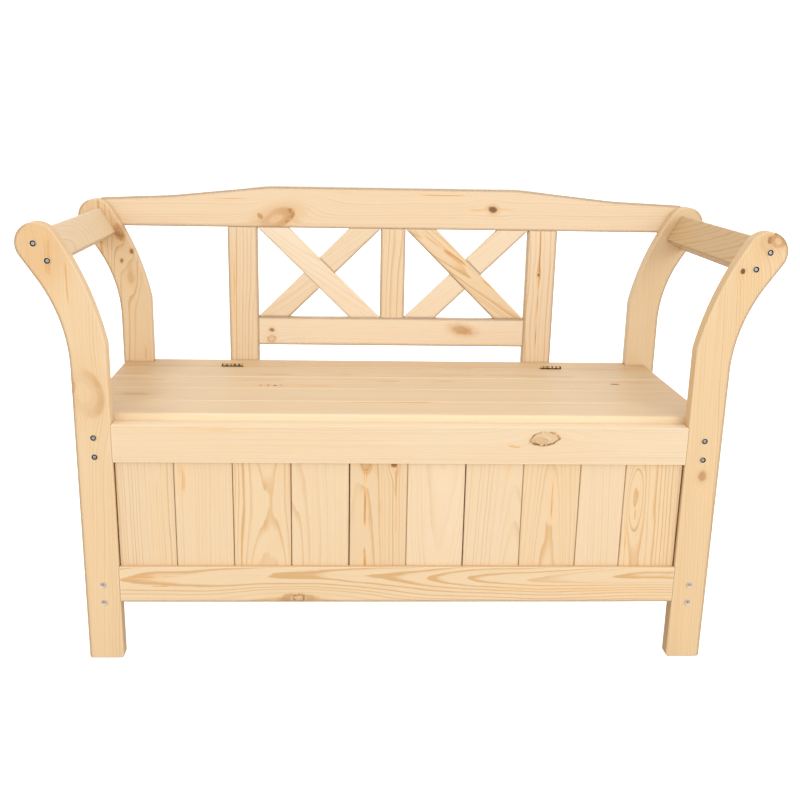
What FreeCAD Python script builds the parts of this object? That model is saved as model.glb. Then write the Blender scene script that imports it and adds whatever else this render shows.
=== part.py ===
"""Garden storage bench in planed pine, built piece by piece.

All sizes are millimetres. X runs across the bench with +X on the right as seen
from the front, -Y is the front and +Z is up. The origin is on the floor, midway
between the outer faces of the bench. Pieces are placed with the front faces of
the legs at Y = 0 and the whole bench is centred at the end.
"""
import FreeCAD, Part
import math
import os

from FreeCAD import Vector

# Overall form
seat_height = 445.0          # floor to the top of the lid
inner_width = 980.0          # between the inner faces of a pair of legs
front_to_back = 448.0        # front face of the front legs to front face of the rear legs
strip_width = 66.5           # fixed board behind the lid, front to back

# Leg boards
leg_width = 60.0
leg_thickness = 28.0
head_radius = 34.0
head_lean = 41.0             # outer face of the straight leg to the centre of the head
foot_easing = 5.0

# Curve of a leg above the seat: height of the centre of its round head, of the kink
# where the inner edge starts to lean out and of the bend of the outer edge, and the
# radii of the inner and of the outer edge
front_leg_curve = (284.0, 122.0, 83.0, 515.0, 262.0)
rear_leg_curve = (290.0, 130.0, 92.0, 490.0, 245.0)

# Armrests
arm_width = 56.0
arm_thickness = 42.0
arm_tilt = 59.5              # degrees from level, long side of the section
arm_inset = 6.0              # centre of the head in to the centre of the section
arm_lift = 273.0             # seat to the centre of the section
arm_easing = 3.0
arm_screw_tilt = 53.0
arm_screw_drop = 2.0

# Rails of the box
front_rail_height = 66.0
lower_rail_lift = 109.0      # floor to the underside of the front lower rail
upper_side_rail_height = 70.0
lower_side_rail_height = 66.0
side_rail_thickness = 28.0

# Boarding of the box
panel_thickness = 9.0
panel_setback = 9.0          # face of a rail to the face of the boards in its groove
panel_tongue = 10.0          # how far a board enters a groove
panel_gap = 1.0              # between neighbouring boards of the ends
panel_end_gap = 1.5          # between the outermost board and the leg
front_board_gaps = (0.8, 0.8, 1.1, 1.8, 0.6, 1.7, 0.7, 0.8, 0.7)
groove_clearance = 0.3
front_board_count = 10
closing_board_share = 0.79   # width of the cut-down board against a full one
closing_board_place = 9      # counted from one at the left
end_board_trim = 0.5         # taken off each outermost board
side_board_count = 4
floor_thickness = 18.0
floor_board_count = 4
floor_gap = 4.0
bearer_height = 36.0
bearer_thickness = 28.0

# Lid
lid_thickness = 18.0
lid_board_count = 4
lid_board_gap = 1.0
lid_rise = 13.3              # top of the front apron to the top of the lid
lid_front_gap = 0.5          # back of the front legs to the front edge of the lid
lid_end_trim = 4.0           # taken off the first and the last board of the lid
lid_overhang = 49.0          # beyond the inner faces of the legs
lid_shift = -8.0             # the lid and the strip sit a little to the left
lid_rest_gap = 0.3
strip_fit_gap = 0.3
batten_width = 45.0
batten_thickness = 18.0
batten_spread_share = 0.775  # of half the inner width
batten_end_clearance = 12.0
hinge_joint_gap = 2.0

# Back
back_thickness = 18.0
back_housing = 4.0           # how deep the back is let into the rear legs and rear rail
post_width = 60.0
centre_post_width = 50.0
post_spread_share = 0.6214   # middle of an outer post, of half the inner width
back_rail_lift = 32.0        # seat to the underside of the lower back rail
back_rail_height = 58.0
top_rail_lift = 271.0        # seat to the underside of the top rail
top_rail_crown = 80.0        # height of the top rail in its middle
top_rail_shoulder = 60.2     # height where the falling part ends
top_rail_end = 54.0          # height at the tips
crown_share = 0.426          # half length of the flat crown, of half the rail
shoulder_share = 0.758
top_rail_past_leg = 36.0     # outer face of the straight leg to the tip of the rail
crown_easing = 150.0
shoulder_easing = 500.0
tip_easing = 5.0
brace_width = 44.0

# Butt hinges
hinge_length = 43.0
hinge_spread_share = 0.662   # of half the inner width
knuckle_radius = 2.8
knuckle_count = 3
knuckle_play = 0.2
hinge_pin_radius = 1.4
pin_clearance = 0.05
leaf_thickness = 0.8
leaf_depth = 15.0
leaf_offset = 0.1            # between a closed leaf and the plane of the pin
pin_lift = 3.0               # pin axis above the seat

# Stub tenons: thickness, height or width, and length beyond the shoulder
rail_tenon = (10.0, 34.0, 22.0)
post_tenon = (8.0, 36.0, 20.0)
centre_tenon = (8.0, 28.0, 20.0)
bearer_tenon = (14.0, 20.0, 10.0)
tenon_clearance = 0.1

# Screws: head radius, head depth, shank radius and length
leg_screw = (5.0, 3.0, 2.2, 70.0)
back_screw = (3.8, 2.4, 1.8, 38.0)
screw_sides = 10
hole_clearance = 0.05
side_screw_pitch = 33.5
arm_screw_pitch = 34.2
back_screw_inset = 9.0       # tip of the top rail to the screws that hold it

# Eased edges
edge_easing = 1.6
small_easing = 0.8

# Places worked out from the sizes above
half_inner = inner_width / 2
half_outer = half_inner + leg_width
rear_leg_front = front_to_back
rear_leg_back = rear_leg_front + leg_thickness
back_front = rear_leg_back - back_housing
back_back = back_front + back_thickness
lid_bottom = seat_height - lid_thickness
side_rail_top = lid_bottom - lid_rest_gap
apron_top = seat_height - lid_rise
apron_bottom = apron_top - front_rail_height
lower_rail_top = lower_rail_lift + front_rail_height
floor_bottom = lower_rail_top - floor_thickness
side_rail_x = half_inner + leg_width / 2
upper_side_rail_bottom = side_rail_top - upper_side_rail_height
lower_side_rail_bottom = floor_bottom - lower_side_rail_height
lid_half_length = half_inner + lid_overhang
lid_front = leg_thickness + lid_front_gap
strip_back = back_front - strip_fit_gap
strip_front = strip_back - strip_width
lid_back = strip_front - hinge_joint_gap
batten_front = leg_thickness + batten_end_clearance
batten_back = lid_back - batten_end_clearance
batten_bottom = lid_bottom - batten_thickness
hinge_y = lid_back + hinge_joint_gap / 2
hinge_z = seat_height + pin_lift
head_x = half_outer + head_lean
arm_centre = Vector(head_x - arm_inset, 0, seat_height + arm_lift)
top_rail_bottom = seat_height + top_rail_lift
top_rail_reach = half_outer + top_rail_past_leg
back_rail_bottom = seat_height + back_rail_lift
back_rail_top = back_rail_bottom + back_rail_height
post_x = post_spread_share * half_inner
post_inner = post_x - post_width / 2
post_depth = back_front + back_thickness / 2

ACROSS = Vector(1, 0, 0)
BACKWARD = Vector(0, 1, 0)
FORWARD = Vector(0, -1, 0)
UP = Vector(0, 0, 1)


def box(x0, x1, y0, y1, z0, z1):
    return Part.makeBox(x1 - x0, y1 - y0, z1 - z0, Vector(x0, y0, z0))


def along(solid, direction):
    """Those straight edges of a solid that run in one direction."""
    picked = []
    for edge in solid.Edges:
        run = edge.Vertexes[-1].Point - edge.Vertexes[0].Point
        if run.Length > 0 and run.cross(direction).Length < 1e-6 * run.Length:
            picked.append(edge)
    return picked


def rims(solid):
    """Those edges of an upright board that lie in its front or its back face."""
    return [e for e in solid.Edges if abs(e.Vertexes[0].Y - e.Vertexes[-1].Y) < 1e-6]


def plank(x0, x1, y0, y1, z0, z1, easing):
    """A straight board with all its edges taken off by a small chamfer."""
    board = box(x0, x1, y0, y1, z0, z1)
    return board.makeChamfer(easing, board.Edges)


def prism(corners):
    """A board of the back, cut to this outline."""
    face = Part.Face(Part.makePolygon(corners + [corners[0]]))
    return face.extrude(BACKWARD * back_thickness)


def mirrored(solid):
    return solid.mirror(Vector(0, 0, 0), ACROSS)


def both_sides(solids):
    return [mirrored(s) for s in solids] + list(solids)


def cut_all(solid, tools):
    for tool in tools:
        solid = solid.cut(tool)
    return solid


# Screws, each given by its place and the direction it is driven in
def ring(place, direction, radius):
    """A closed ring of straight edges, in place of a circle to keep small pieces light."""
    sideways = direction.cross(ACROSS)
    corners = []
    for side in range(screw_sides):
        turn = 2 * math.pi * side / screw_sides
        corners.append(place + (sideways * math.cos(turn) + ACROSS * math.sin(turn)) * radius)
    return Part.makePolygon(corners + [corners[0]])


def screw(sizes, place, direction, extra=0.0):
    """A countersunk screw with its flat head at this place."""
    head_radius, head_depth, shank_radius, length = sizes
    neck = place + direction * head_depth
    point = place + direction * (length + extra)
    rings = [ring(place, direction, head_radius + extra),
             ring(neck, direction, shank_radius + extra),
             ring(point, direction, shank_radius + extra)]
    return Part.makeLoft(rings, True, True)


def screws(sizes, places):
    return [screw(sizes, place, direction) for place, direction in places]


def screw_holes(sizes, places):
    return [screw(sizes, place, direction, hole_clearance) for place, direction in places]


# Stub tenons, each a block with its middle on the shoulder of the joint
def stub(joint, across, deep, high, extra=0.0):
    width = across + 2 * extra
    depth = deep + 2 * extra
    height = high + 2 * extra
    corner = joint - Vector(width / 2, depth / 2, height / 2)
    return Part.makeBox(width, depth, height, corner)


def with_tenons(solid, stubs):
    """The piece that carries these tenons."""
    for block in stubs:
        solid = solid.fuse(block)
    return solid.removeSplitter()


# Legs
def inner_edge(head, kink_lift, radius):
    """The arc of the inner edge, from the kink to where it runs into the round head."""
    kink = Vector(half_inner, 0, seat_height + kink_lift)
    reach = radius - head_radius
    gap = head - kink
    along_gap = (gap.Length ** 2 + radius ** 2 - reach ** 2) / (2 * gap.Length)
    off_gap = math.sqrt(radius ** 2 - along_gap ** 2)
    unit = gap / gap.Length
    centre = kink + unit * along_gap + Vector(unit.z, 0, -unit.x) * off_gap
    meet = centre + (head - centre) * (radius / reach)
    halfway = (kink + meet) / 2 - centre
    middle = centre + halfway * (radius / halfway.Length)
    return kink, middle, meet


def outer_edge(head, bend_lift, radius):
    """The hollow arc of the outer edge and where the straight run above it meets the head."""
    bend = Vector(half_outer, 0, seat_height + bend_lift)
    centre = bend + ACROSS * radius
    gap = head - centre
    turn = math.acos((radius + head_radius) / gap.Length)
    heading = math.atan2(gap.z, gap.x) + turn
    normal = Vector(math.cos(heading), 0, math.sin(heading))
    arc_end = centre + normal * radius
    halfway = (bend + arc_end) / 2 - centre
    middle = centre + halfway * (radius / halfway.Length)
    return bend, middle, arc_end, head - normal * head_radius


def leg(front, curve):
    """A right leg: one curved board whose front face lies at this depth."""
    head_lift, kink_lift, bend_lift, inner_radius, outer_radius = curve
    head = Vector(head_x, 0, seat_height + head_lift)
    kink, inner_middle, inner_meet = inner_edge(head, kink_lift, inner_radius)
    bend, outer_middle, arc_end, head_start = outer_edge(head, bend_lift, outer_radius)
    chord = head_start - inner_meet
    crown = head + Vector(-chord.z, 0, chord.x) * (head_radius / chord.Length)
    inner_foot = Vector(half_inner, 0, 0)
    outer_foot = Vector(half_outer, 0, 0)
    outline = Part.Wire([
        Part.LineSegment(inner_foot, kink).toShape(),
        Part.Arc(kink, inner_middle, inner_meet).toShape(),
        Part.Arc(inner_meet, crown, head_start).toShape(),
        Part.LineSegment(head_start, arc_end).toShape(),
        Part.Arc(arc_end, outer_middle, bend).toShape(),
        Part.LineSegment(bend, outer_foot).toShape(),
        Part.LineSegment(outer_foot, inner_foot).toShape(),
    ])
    solid = Part.Face(outline).extrude(BACKWARD * leg_thickness)
    feet = [e for e in along(solid, BACKWARD) if e.Vertexes[0].Z < foot_easing]
    solid = solid.makeFillet(foot_easing, feet)
    solid = solid.makeChamfer(edge_easing, rims(solid))
    solid.translate(BACKWARD * front)
    return solid


def leg_screw_places(face, direction):
    """The screws through a right leg, into its armrest and its two side rails."""
    tilt = math.radians(arm_screw_tilt)
    pair = Vector(math.cos(tilt), 0, math.sin(tilt)) * (arm_screw_pitch / 2)
    middle = arm_centre - UP * arm_screw_drop
    spots = [middle - pair, middle + pair]
    upper = upper_side_rail_bottom + upper_side_rail_height / 2
    lower = lower_side_rail_bottom + lower_side_rail_height / 2
    for height in (upper, lower):
        for side in (-1, 1):
            spots.append(Vector(side_rail_x, 0, height + side * side_screw_pitch / 2))
    return [(Vector(spot.x, face, spot.z), direction) for spot in spots]


# Armrests and side rails
def armrest():
    """The right armrest, between the front leg and the rear leg."""
    run = rear_leg_front - leg_thickness
    bar = Part.makeBox(arm_width, run, arm_thickness,
                       Vector(-arm_width / 2, leg_thickness, -arm_thickness / 2))
    bar = bar.makeFillet(arm_easing, along(bar, BACKWARD))
    bar.rotate(Vector(0, 0, 0), BACKWARD, -arm_tilt)
    bar.translate(arm_centre)
    return bar


def side_rail(z0, height, groove_on_top):
    """A right side rail between the legs, with the groove for the side boards."""
    half = side_rail_thickness / 2
    rail = plank(side_rail_x - half, side_rail_x + half, leg_thickness, rear_leg_front,
                 z0, z0 + height, small_easing)
    half_groove = (panel_thickness + groove_clearance) / 2
    groove_bottom = z0 + height - panel_tongue if groove_on_top else z0
    return rail.cut(box(side_rail_x - half_groove, side_rail_x + half_groove, leg_thickness,
                        rear_leg_front, groove_bottom, groove_bottom + panel_tongue))


# Front and rear of the box
def cross_rail(z0, z1, front, groove_on_top):
    """A rail between two legs, with the groove for the upright boards."""
    rail = plank(-half_inner, half_inner, front, front + leg_thickness, z0, z1, small_easing)
    y0 = front + panel_setback - groove_clearance / 2
    groove_bottom = z1 - panel_tongue if groove_on_top else z0
    return rail.cut(box(-half_inner, half_inner, y0, y0 + panel_thickness + groove_clearance,
                        groove_bottom, groove_bottom + panel_tongue))


def rail_tenons(extra=0.0):
    """The tenons at the right ends of the four cross rails."""
    thick, high, long = rail_tenon
    upper = (apron_bottom + panel_tongue + apron_top) / 2
    lower = (lower_rail_lift + lower_rail_top - panel_tongue) / 2
    stubs = []
    for front in (0, rear_leg_front):
        for height in (upper, lower):
            joint = Vector(half_inner, front + leg_thickness / 2, height)
            stubs.append(stub(joint, 2 * long, thick, high, extra))
    return stubs


def bearer_tenons(extra=0.0):
    wide, high, long = bearer_tenon
    height = floor_bottom - bearer_height / 2
    return [stub(Vector(0, depth, height), wide, 2 * long, high, extra)
            for depth in (leg_thickness, rear_leg_front)]


def board_widths():
    """Widths of the upright boards of the front, from left to right."""
    run = inner_width - 2 * panel_end_gap - sum(front_board_gaps)
    full = (run + 2 * end_board_trim) / (front_board_count - 1 + closing_board_share)
    widths = [full] * front_board_count
    widths[0] -= end_board_trim
    widths[-1] -= end_board_trim
    widths[closing_board_place - 1] *= closing_board_share
    return widths


def upright_board(x0, x1, y0, y1, z0, z1):
    board = box(x0, x1, y0, y1, z0, z1)
    return board.makeChamfer(small_easing, along(board, UP))


def cross_boards(face):
    """The row of upright boards between an upper and a lower cross rail."""
    y0 = face + panel_setback
    boards = []
    left = -half_inner + panel_end_gap
    for width, gap in zip(board_widths(), front_board_gaps + (0.0,)):
        boards.append(upright_board(left, left + width, y0, y0 + panel_thickness,
                                    lower_rail_top - panel_tongue, apron_bottom + panel_tongue))
        left += width + gap
    return boards


def side_boards():
    """The row of upright boards at the right end of the box."""
    start = leg_thickness + panel_end_gap
    run = rear_leg_front - panel_end_gap - start
    width = (run - (side_board_count - 1) * panel_gap) / side_board_count
    half = panel_thickness / 2
    boards = []
    for place in range(side_board_count):
        y0 = start + place * (width + panel_gap)
        boards.append(upright_board(side_rail_x - half, side_rail_x + half, y0, y0 + width,
                                    floor_bottom - panel_tongue,
                                    upper_side_rail_bottom + panel_tongue))
    return boards


def floor_boards():
    """Lengthwise boards that lie on the lower side rails and the bearer."""
    half = side_rail_x - panel_thickness / 2 - floor_gap / 2
    start = leg_thickness + floor_gap
    run = rear_leg_front - floor_gap - start
    width = (run - (floor_board_count - 1) * floor_gap) / floor_board_count
    boards = []
    for place in range(floor_board_count):
        y0 = start + place * (width + floor_gap)
        boards.append(plank(-half, half, y0, y0 + width, floor_bottom, lower_rail_top,
                            small_easing))
    return boards


def floor_bearer():
    half = bearer_thickness / 2
    return plank(-half, half, leg_thickness, rear_leg_front, floor_bottom - bearer_height,
                 floor_bottom, small_easing)


# Lid and the strip behind it
def seat_board(y0, y1, z0):
    return box(lid_shift - lid_half_length, lid_shift + lid_half_length, y0, y1, z0,
               seat_height)


def ease_top(board):
    """The board with the edges of its top face taken off."""
    edges = [e for e in board.Edges if min(v.Z for v in e.Vertexes) > seat_height - 1e-6]
    return board.makeChamfer(edge_easing, edges)


def lid_boards():
    """The lengthwise boards of the lid, behind the apron and the front legs."""
    run = lid_back - lid_front - (lid_board_count - 1) * lid_board_gap
    full = (run + 2 * lid_end_trim) / lid_board_count
    widths = [full] * lid_board_count
    widths[0] -= lid_end_trim
    widths[-1] -= lid_end_trim
    boards = []
    y0 = lid_front
    for width in widths:
        boards.append(ease_top(seat_board(y0, y0 + width, lid_bottom)))
        y0 += width + lid_board_gap
    return boards


def hinge_strip():
    """The fixed board behind the lid, notched round the rear legs."""
    board = seat_board(strip_front, strip_back, side_rail_top)
    notch = box(half_inner - strip_fit_gap, lid_half_length + lid_overhang,
                rear_leg_front - strip_fit_gap, back_back, side_rail_top - lid_thickness,
                seat_height + lid_thickness)
    return ease_top(cut_all(board, [notch, mirrored(notch)]))


def batten_places():
    spread = batten_spread_share * half_inner
    return {"left": -spread, "middle": 0.0, "right": spread}


def batten(x):
    return plank(x - batten_width / 2, x + batten_width / 2, batten_front, batten_back,
                 batten_bottom, lid_bottom, small_easing)


# Back
def eased_corner(before, corner, after, radius):
    """Start, middle and end of the arc that eases one corner of an outline."""
    back = (before - corner) / (before - corner).Length
    ahead = (after - corner) / (after - corner).Length
    half_turn = back.getAngle(ahead) / 2
    reach = radius / math.tan(half_turn)
    inward = (back + ahead) / (back + ahead).Length
    middle = corner + inward * (radius / math.sin(half_turn) - radius)
    return corner + back * reach, middle, corner + ahead * reach


def top_rail():
    """The shaped top rail: flat crown, falling shoulders and nearly level tips."""
    corners = [
        (Vector(top_rail_reach, back_front, top_rail_bottom), tip_easing),
        (Vector(top_rail_reach, back_front, top_rail_bottom + top_rail_end), tip_easing),
        (Vector(shoulder_share * top_rail_reach, back_front,
                top_rail_bottom + top_rail_shoulder), shoulder_easing),
        (Vector(crown_share * top_rail_reach, back_front,
                top_rail_bottom + top_rail_crown), crown_easing),
    ]
    corners += [(Vector(-p.x, p.y, p.z), easing) for p, easing in reversed(corners)]
    edges = []
    last = None
    for place, (corner, easing) in enumerate(corners):
        before = corners[place - 1][0]
        after = corners[(place + 1) % len(corners)][0]
        start, middle, end = eased_corner(before, corner, after, easing)
        if last is None:
            first = start
        else:
            edges.append(Part.LineSegment(last, start).toShape())
        edges.append(Part.Arc(start, middle, end).toShape())
        last = end
    edges.append(Part.LineSegment(last, first).toShape())
    rail = Part.Face(Part.Wire(edges)).extrude(BACKWARD * back_thickness)
    return rail.makeChamfer(edge_easing, rims(rail))


def back_post():
    """The right outer post, from the top rail down behind the strip to the rear rail."""
    return plank(post_inner, post_inner + post_width, back_front, back_back, apron_bottom,
                 top_rail_bottom, edge_easing)


def centre_back_post():
    half = centre_post_width / 2
    return plank(-half, half, back_front, back_back, back_rail_top, top_rail_bottom,
                 edge_easing)


def lower_back_rail():
    return plank(-post_inner, post_inner, back_front, back_back, back_rail_bottom,
                 back_rail_top, edge_easing)


def brace_foot():
    """Length of the level cut at the ends of a brace that just fills its bay."""
    span = post_inner - centre_post_width / 2
    drop = top_rail_bottom - back_rail_top
    foot = brace_width
    for _ in range(12):
        slope = math.atan2(drop, span - foot)
        foot = brace_width / math.sin(slope)
    return foot


def brace(top_left, low_left, easing):
    """A slanting board of one bay, given by the left ends of its upper and lower cuts."""
    foot = brace_foot()
    board = prism([
        Vector(top_left, back_front, top_rail_bottom),
        Vector(top_left + foot, back_front, top_rail_bottom),
        Vector(low_left + foot, back_front, back_rail_top),
        Vector(low_left, back_front, back_rail_top),
    ])
    if easing:
        board = board.makeChamfer(edge_easing, rims(board))
    return board


def braces(left, right):
    """The crossed braces of one bay, halved into each other, the falling one in front."""
    foot = brace_foot()
    falling = (left, right - foot)
    rising = (right - foot, left)
    crossing = brace(*falling, False).common(brace(*rising, False))
    front_half = box(left, right, back_front, post_depth, back_rail_top, top_rail_bottom)
    rear_half = box(left, right, post_depth, back_back, back_rail_top, top_rail_bottom)
    in_front = brace(*falling, True).cut(crossing.common(rear_half))
    behind = brace(*rising, True).cut(crossing.common(front_half))
    return in_front, behind


def brace_bays():
    half_post = centre_post_width / 2
    return {"left": (-post_inner, -half_post), "right": (half_post, post_inner)}


def post_tenons(extra=0.0):
    """The tenons at the tops of the outer posts."""
    thick, wide, long = post_tenon
    return [stub(Vector(side * post_x, post_depth, top_rail_bottom), wide, thick, 2 * long,
                 extra) for side in (-1, 1)]


def back_rail_tenons(extra=0.0):
    """The tenons at the ends of the lower back rail."""
    thick, high, long = post_tenon
    middle = (back_rail_bottom + back_rail_top) / 2
    return [stub(Vector(side * post_inner, post_depth, middle), 2 * long, thick, high, extra)
            for side in (-1, 1)]


def centre_tenons(extra=0.0):
    """The tenons at both ends of the centre post."""
    thick, wide, long = centre_tenon
    return [stub(Vector(0, post_depth, level), wide, thick, 2 * long, extra)
            for level in (back_rail_top, top_rail_bottom)]


def back_screw_places():
    """Screws driven forwards through the back into the rear legs and the rear rail."""
    places = []
    for side in (-1, 1):
        for x, bottom, height in ((top_rail_reach - back_screw_inset, top_rail_bottom,
                                   top_rail_end),
                                  (post_x, apron_bottom + panel_tongue,
                                   front_rail_height - panel_tongue)):
            for share in (0.2, 0.6):
                places.append((Vector(side * x, back_back, bottom + share * height), FORWARD))
    return places


# Hinges
def hinge_places():
    spread = hinge_spread_share * half_inner
    return {"left": -spread, "right": spread}


def hinge_leaf(x, face):
    """One leaf of a butt hinge: face is 1 for the fixed leaf and -1 for the moving one."""
    sides = (hinge_y + face * leaf_offset, hinge_y + face * (leaf_offset + leaf_thickness))
    y0 = min(sides)
    y1 = max(sides)
    half = hinge_length / 2
    top = hinge_z - knuckle_radius - knuckle_play
    leaf = box(x - half, x + half, y0, y1, top - leaf_depth, top)
    pitch = hinge_length / knuckle_count
    first = 0 if face > 0 else 1
    for place in range(first, knuckle_count, 2):
        x0 = x - half + place * pitch + knuckle_play / 2
        x1 = x0 + pitch - knuckle_play
        leaf = leaf.fuse(box(x0, x1, y0, y1, top, hinge_z))
        leaf = leaf.fuse(Part.makeCylinder(knuckle_radius, x1 - x0,
                                           Vector(x0, hinge_y, hinge_z), ACROSS))
    bore = Part.makeCylinder(hinge_pin_radius + pin_clearance, 2 * hinge_length,
                             Vector(x - hinge_length, hinge_y, hinge_z), ACROSS)
    return leaf.removeSplitter().cut(bore)


def hinge_pin(x):
    return Part.makeCylinder(hinge_pin_radius, hinge_length,
                             Vector(x - hinge_length / 2, hinge_y, hinge_z), ACROSS)


# The named pieces
pieces = {}


def add(name, shape):
    pieces[name] = shape


def add_pair(name, shape):
    """A right-hand piece and its mirror image on the left."""
    add("left_" + name, mirrored(shape))
    add("right_" + name, shape)


def add_group(name, solids):
    add(name, Part.makeCompound(solids))


def build_sides():
    """Legs, armrests and side rails, with the screws that hold them together."""
    front_places = leg_screw_places(0, BACKWARD)
    rear_places = leg_screw_places(rear_leg_back, FORWARD)
    front_holes = screw_holes(leg_screw, front_places)
    rear_holes = screw_holes(leg_screw, rear_places)
    mortises = rail_tenons(tenon_clearance)
    back_holes = screw_holes(back_screw, back_screw_places())
    front = cut_all(leg(0, front_leg_curve), front_holes + mortises)
    rear = leg(rear_leg_front, rear_leg_curve)
    rear = cut_all(rear, rear_holes + mortises + [top_rail()] + back_holes)
    upper = side_rail(upper_side_rail_bottom, upper_side_rail_height, False)
    lower = side_rail(lower_side_rail_bottom, lower_side_rail_height, True)
    add_pair("front_leg", front)
    add_pair("rear_leg", rear)
    add_pair("armrest", cut_all(armrest(), front_holes + rear_holes))
    add_pair("upper_side_rail", cut_all(upper, front_holes + rear_holes))
    add_pair("lower_side_rail", cut_all(lower, front_holes + rear_holes))
    add_pair("side_boards", Part.makeCompound(side_boards()))
    add_group("front_leg_screws", both_sides(screws(leg_screw, front_places)))
    add_group("rear_leg_screws", both_sides(screws(leg_screw, rear_places)))


def build_box():
    """Front, rear and floor of the storage box."""
    front_upper, front_lower, rear_upper, rear_lower = rail_tenons()
    apron = cross_rail(apron_bottom, apron_top, 0, False)
    front_rail = cross_rail(lower_rail_lift, lower_rail_top, 0, True)
    rear_rail = cross_rail(apron_bottom, side_rail_top, rear_leg_front, False)
    low_rear_rail = cross_rail(lower_rail_lift, lower_rail_top, rear_leg_front, True)
    sockets = bearer_tenons(tenon_clearance)
    posts = both_sides([back_post()])
    back_holes = screw_holes(back_screw, back_screw_places())
    add("front_apron", with_tenons(apron, both_sides([front_upper])))
    add("front_lower_rail", cut_all(with_tenons(front_rail, both_sides([front_lower])), sockets))
    rear_rail = with_tenons(rear_rail, both_sides([rear_upper]))
    add("rear_upper_rail", cut_all(rear_rail, posts + back_holes))
    add("rear_lower_rail", cut_all(with_tenons(low_rear_rail, both_sides([rear_lower])), sockets))
    for number, board in enumerate(cross_boards(0), start=1):
        add("front_board_%02d" % number, board)
    add_group("rear_boards", cross_boards(rear_leg_front))
    add_group("floor_boards", floor_boards())
    add("floor_bearer", with_tenons(floor_bearer(), bearer_tenons()))


def build_lid():
    """The strip, the boards of the lid and the battens that hold them in one piece."""
    add("hinge_strip", hinge_strip())
    for number, board in enumerate(lid_boards(), start=1):
        add("lid_board_%d" % number, board)
    for side, x in batten_places().items():
        add(side + "_lid_batten", batten(x))


def build_back():
    """The back with its crossed braces."""
    holes = screw_holes(back_screw, back_screw_places())
    right_tenon = post_tenons()[1]
    sockets = post_tenons(tenon_clearance) + centre_tenons(tenon_clearance)
    rail_sockets = back_rail_tenons(tenon_clearance)
    add("back_top_rail", cut_all(top_rail(), sockets + holes))
    add_pair("back_post", cut_all(with_tenons(back_post(), [right_tenon]), rail_sockets + holes))
    add("centre_back_post", with_tenons(centre_back_post(), centre_tenons()))
    add("lower_back_rail", cut_all(with_tenons(lower_back_rail(), back_rail_tenons()),
                                   centre_tenons(tenon_clearance)))
    for side, (left, right) in brace_bays().items():
        in_front, behind = braces(left, right)
        add(side + "_falling_brace", in_front)
        add(side + "_rising_brace", behind)
    add_group("back_screws", screws(back_screw, back_screw_places()))


def build_hinges():
    """The two butt hinges between the strip and the lid."""
    for side, x in hinge_places().items():
        add(side + "_hinge_fixed_leaf", hinge_leaf(x, 1))
        add(side + "_hinge_moving_leaf", hinge_leaf(x, -1))
        add(side + "_hinge_pin", hinge_pin(x))


build_sides()
build_box()
build_lid()
build_back()
build_hinges()

os.makedirs("parts", exist_ok=True)
for name, shape in pieces.items():
    shape.translate(FORWARD * (back_back / 2))
    if not shape.isValid() or not shape.Solids:
        raise RuntimeError(name + " is not a sound solid")
    shape.exportStep("parts/" + name + ".step")
    print("%-26s %2d solids %12.1f mm3" % (name, len(shape.Solids), shape.Volume))
print(len(pieces), "pieces and groups")
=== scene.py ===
import math

import bpy
from mathutils import Matrix, Vector


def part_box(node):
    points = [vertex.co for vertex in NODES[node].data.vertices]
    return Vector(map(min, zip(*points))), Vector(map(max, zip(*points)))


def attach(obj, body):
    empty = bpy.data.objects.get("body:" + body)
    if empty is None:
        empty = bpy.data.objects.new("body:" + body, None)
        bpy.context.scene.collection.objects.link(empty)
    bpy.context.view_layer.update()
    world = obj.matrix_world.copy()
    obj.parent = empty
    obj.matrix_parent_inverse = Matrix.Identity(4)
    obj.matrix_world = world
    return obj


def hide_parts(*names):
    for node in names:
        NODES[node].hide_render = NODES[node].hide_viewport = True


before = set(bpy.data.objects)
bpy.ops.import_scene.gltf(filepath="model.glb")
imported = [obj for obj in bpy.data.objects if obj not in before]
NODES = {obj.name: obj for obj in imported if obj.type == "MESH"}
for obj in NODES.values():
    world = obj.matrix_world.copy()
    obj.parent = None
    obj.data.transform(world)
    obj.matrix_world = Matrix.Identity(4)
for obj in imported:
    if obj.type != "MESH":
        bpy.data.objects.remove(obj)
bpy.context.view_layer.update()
MM = 0.001


# Node helpers
def feed(tree, socket, value):
    if isinstance(value, bpy.types.NodeSocket):
        tree.links.new(value, socket)
    else:
        socket.default_value = value


def node(tree, kind, sockets=None, **settings):
    made = tree.nodes.new(kind)
    for key, value in settings.items():
        setattr(made, key, value)
    for key, value in (sockets or {}).items():
        feed(tree, made.inputs[key], value)
    return made


def maths(tree, operation, *values, clamp=False):
    made = node(tree, "ShaderNodeMath", operation=operation, use_clamp=clamp)
    for socket, value in zip(made.inputs, values):
        feed(tree, socket, value)
    return made.outputs[0]


def vectors(tree, operation, *values):
    made = node(tree, "ShaderNodeVectorMath", operation=operation)
    for socket, value in zip(made.inputs, values):
        feed(tree, socket, value)
    return made.outputs["Value" if operation in ("LENGTH", "DOT_PRODUCT") else "Vector"]


def rise(tree, value, low, high, top=1.0):
    """0 below low, top above high, and smooth between; low above high turns it round."""
    made = node(tree, "ShaderNodeMapRange", {"Value": value, "From Min": low, "From Max": high,
                                             "To Min": 0.0, "To Max": top},
                interpolation_type="SMOOTHSTEP")
    return made.outputs["Result"]


def parts_of(tree, vector):
    made = node(tree, "ShaderNodeSeparateXYZ", {"Vector": vector})
    return made.outputs[0], made.outputs[1], made.outputs[2]


def joined(tree, x, y, z):
    return node(tree, "ShaderNodeCombineXYZ", {"X": x, "Y": y, "Z": z}).outputs[0]


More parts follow.
